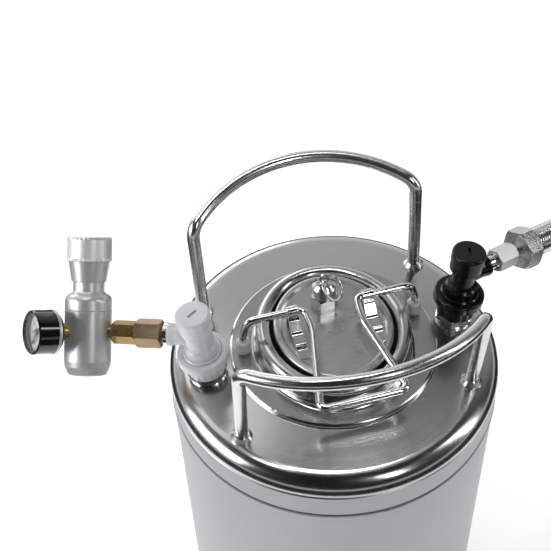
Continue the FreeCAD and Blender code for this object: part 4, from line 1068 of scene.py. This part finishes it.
@dataclass
class Shank:
    """The flare nut and the tap shank on the liquid side."""

    effects: Effects
    color: Rgb = (0.74, 0.74, 0.73)
    plate_color: Rgb = (0.72, 0.72, 0.70)

    def build(self) -> None:
        """Dresses the shank."""
        place = Line.of_joint("shank_turn").matrix()
        steel = Metal(
            "Turned steel, shank", self.color, 0.18, 0.05, grain_scale=5000.0, grain_depth=0.000003, place=place
        ).build(self.effects)
        satin = Metal(
            "Nickel plate", self.plate_color, 0.34, 0.05, Grain.DRAWN, 3000.0, 0.000004, haze=0.06, place=place
        ).build(self.effects)
        paint(["tap_shank"], steel)
        paint(["liquid_tail_nut"], satin)


# ---- studio -------------------------------------------------------------------------
@dataclass(frozen=True)
class Softbox:
    """A rectangular studio light."""

    name: str
    place: tuple[float, float, float]
    aim: tuple[float, float, float]
    size: tuple[float, float]
    power: float

    def build(self) -> None:
        """Makes the light."""
        data = bpy.data.lights.new(self.name, "AREA")
        data.shape = "RECTANGLE"
        data.size, data.size_y = self.size
        data.energy = self.power
        light = bpy.data.objects.new(self.name, data)
        bpy.context.scene.collection.objects.link(light)
        light.location = self.place
        light.rotation_mode = "QUATERNION"
        light.rotation_quaternion = (Vector(self.aim) - Vector(self.place)).to_track_quat("-Z", "Y")
        light.visible_camera = False


@dataclass
class Studio:
    """Floor, lights, surroundings and camera.

    A fade holds the room's brightness at its two ends, then how far a direction reaches along
    the fade's axis at those ends.
    """

    floor_size: float = 14.0
    floor_color: Rgb = (0.90, 0.90, 0.905)
    floor_glow: float = 0.5
    floor_drop: float = 0.2 * MM
    floor_rough: float = 0.9
    rear_fade: tuple[float, float, float, float] = (0.02, 1.05, 0.05, 0.98)
    height_fade: tuple[float, float, float, float] = (1.0, 0.25, 0.62, 0.86)
    ground_fade: tuple[float, float, float, float] = (0.9, 0.0, -0.02, 0.06)
    flag_inner: float = 0.42
    flag_outer: float = 2.4
    flag_height: float = 1.0 * MM
    flag_facets: int = 128
    flag_color: Rgb = (0.03, 0.03, 0.03)
    eye: tuple[float, float, float] = (-0.1410, -0.4417, 0.8596)
    ahead: tuple[float, float, float] = (0.15736, 0.66517, -0.72992)
    above: tuple[float, float, float] = (0.21252, 0.69900, 0.68281)
    lens: float = 72.61
    lights: tuple[Softbox, ...] = (
        Softbox("left softbox", (-1.3, 0.0, 0.75), (0.0, 0.0, 0.3), (0.9, 0.7), 11.0),
        Softbox("high panel", (-0.50, 1.05, 1.9), (0.0, 0.0, 0.3), (1.1, 0.8), 3.0),
        Softbox("rear softbox", (-0.5, 1.9, 0.75), (0.0, 0.0, 0.3), (1.7, 0.35), 9.0),
        Softbox("right strip", (1.3, -0.5, 1.0), (0.0, 0.0, 0.3), (0.18, 1.3), 5.0),
        Softbox("front strip", (0.45, -1.2, 1.45), (-0.1, 0.0, 0.35), (0.14, 0.6), 3.2),
        Softbox("top strip", (-0.1, 0.25, 2.0), (0.0, 0.0, 0.3), (1.2, 0.12), 6.0),
    )

    def build(self) -> None:
        """Makes the whole studio."""
        self._floor()
        self._flag()
        for light in self.lights:
            light.build()
            log.info("light: %s", light.name)
        self._surroundings()
        self._camera()
        bpy.context.scene.view_settings.view_transform = "Standard"

    def _floor(self) -> None:
        """Lays a plain pale floor."""
        clear_selection()
        bpy.ops.mesh.primitive_plane_add(size=self.floor_size, location=(0, 0, -self.floor_drop))
        floor = bpy.context.object
        floor.name = "studio_floor"
        material, _, shader = start_material("Pale floor")
        shader.inputs["Base Color"].default_value = (*self.floor_color, 1.0)
        shader.inputs["Roughness"].default_value = self.floor_rough
        shader.inputs["Emission Color"].default_value = (1.0, 1.0, 1.0, 1.0)
        shader.inputs["Emission Strength"].default_value = self.floor_glow
        dress(floor, material)

    def _flag(self) -> None:
        """Lays a dark ring on the floor that only reflections see, to edge the bright metal."""
        clear_selection()
        bpy.ops.mesh.primitive_circle_add(
            vertices=self.flag_facets, radius=self.flag_outer, fill_type="NOTHING",
            location=(0, 0, self.flag_height),
        )
        flag = bpy.context.object
        pick(flag, "VERT", lambda at, normal: True)
        bpy.ops.mesh.extrude_region_move()
        inner = self.flag_inner / self.flag_outer
        bpy.ops.transform.resize(value=(inner, inner, 1))
        bpy.ops.object.mode_set(mode="OBJECT")
        flag.name = "studio_flag"
        material, _, shader = start_material("Black cloth")
        shader.inputs["Base Color"].default_value = (*self.flag_color, 1.0)
        shader.inputs["Roughness"].default_value = 1.0
        shader.inputs["Specular IOR Level"].default_value = 0.0
        dress(flag, material)
        flag.visible_camera = flag.visible_diffuse = flag.visible_shadow = False
        flag.visible_transmission = False

    def _surroundings(self) -> None:
        """Makes a soft room that is darker behind the camera than behind the object."""
        world = bpy.data.worlds.new("Soft room")
        bpy.context.scene.world = world
        world.use_nodes = True
        tree = Tree(world.node_tree)
        for node in list(world.node_tree.nodes):
            world.node_tree.nodes.remove(node)
        way = tree.add("ShaderNodeTexCoord").outputs["Generated"]
        parts = tree.add("ShaderNodeSeparateXYZ")
        tree.join(way, parts.inputs[0])
        rear = tree.spread(parts.outputs[1], *self.rear_fade)
        rear = tree.math("MULTIPLY", rear, tree.spread(parts.outputs[2], *self.height_fade))
        low = tree.spread(parts.outputs[2], *self.ground_fade)
        room = tree.add("ShaderNodeBackground")
        tree.join(tree.math("ADD", rear, low), room.inputs["Strength"])
        plain = tree.add("ShaderNodeBackground")
        plain.inputs["Strength"].default_value = 1.0
        both = tree.add("ShaderNodeMixShader")
        tree.join(tree.add("ShaderNodeLightPath").outputs["Is Camera Ray"], both.inputs[0])
        tree.join(room.outputs[0], both.inputs[1])
        tree.join(plain.outputs[0], both.inputs[2])
        tree.join(both.outputs[0], tree.add("ShaderNodeOutputWorld").inputs["Surface"])

    def _camera(self) -> None:
        """Places the camera."""
        ahead = Vector(self.ahead).normalized()
        right = ahead.cross(Vector(self.above)).normalized()
        turn = Matrix((right, right.cross(ahead), -ahead)).transposed()
        data = bpy.data.cameras.new("camera")
        data.lens = self.lens
        data.sensor_width = 36.0
        camera = bpy.data.objects.new("camera", data)
        bpy.context.scene.collection.objects.link(camera)
        camera.matrix_world = Matrix.Translation(Vector(self.eye)) @ turn.to_4x4()
        bpy.context.scene.camera = camera


def main() -> None:
    """Builds every sub-assembly in order."""
    logging.basicConfig(level=logging.INFO, format="%(name)s: %(message)s")
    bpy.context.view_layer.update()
    Studio().build()
    effects = Effects()
    Vessel(effects).build()
    Lid(effects).build()
    grey = Plastic("Light grey moulding", (0.66, 0.66, 0.69), 0.30, coat=0.25)
    black = Plastic("Black moulding", (0.003, 0.003, 0.0035), 0.26, specular=0.3, coat=0.15)
    Disconnect(effects, "gas", grey).build()
    Disconnect(effects, "liquid", black).build()
    Regulator(effects).build()
    Shank(effects).build()


if __name__ == "__main__":
    main()
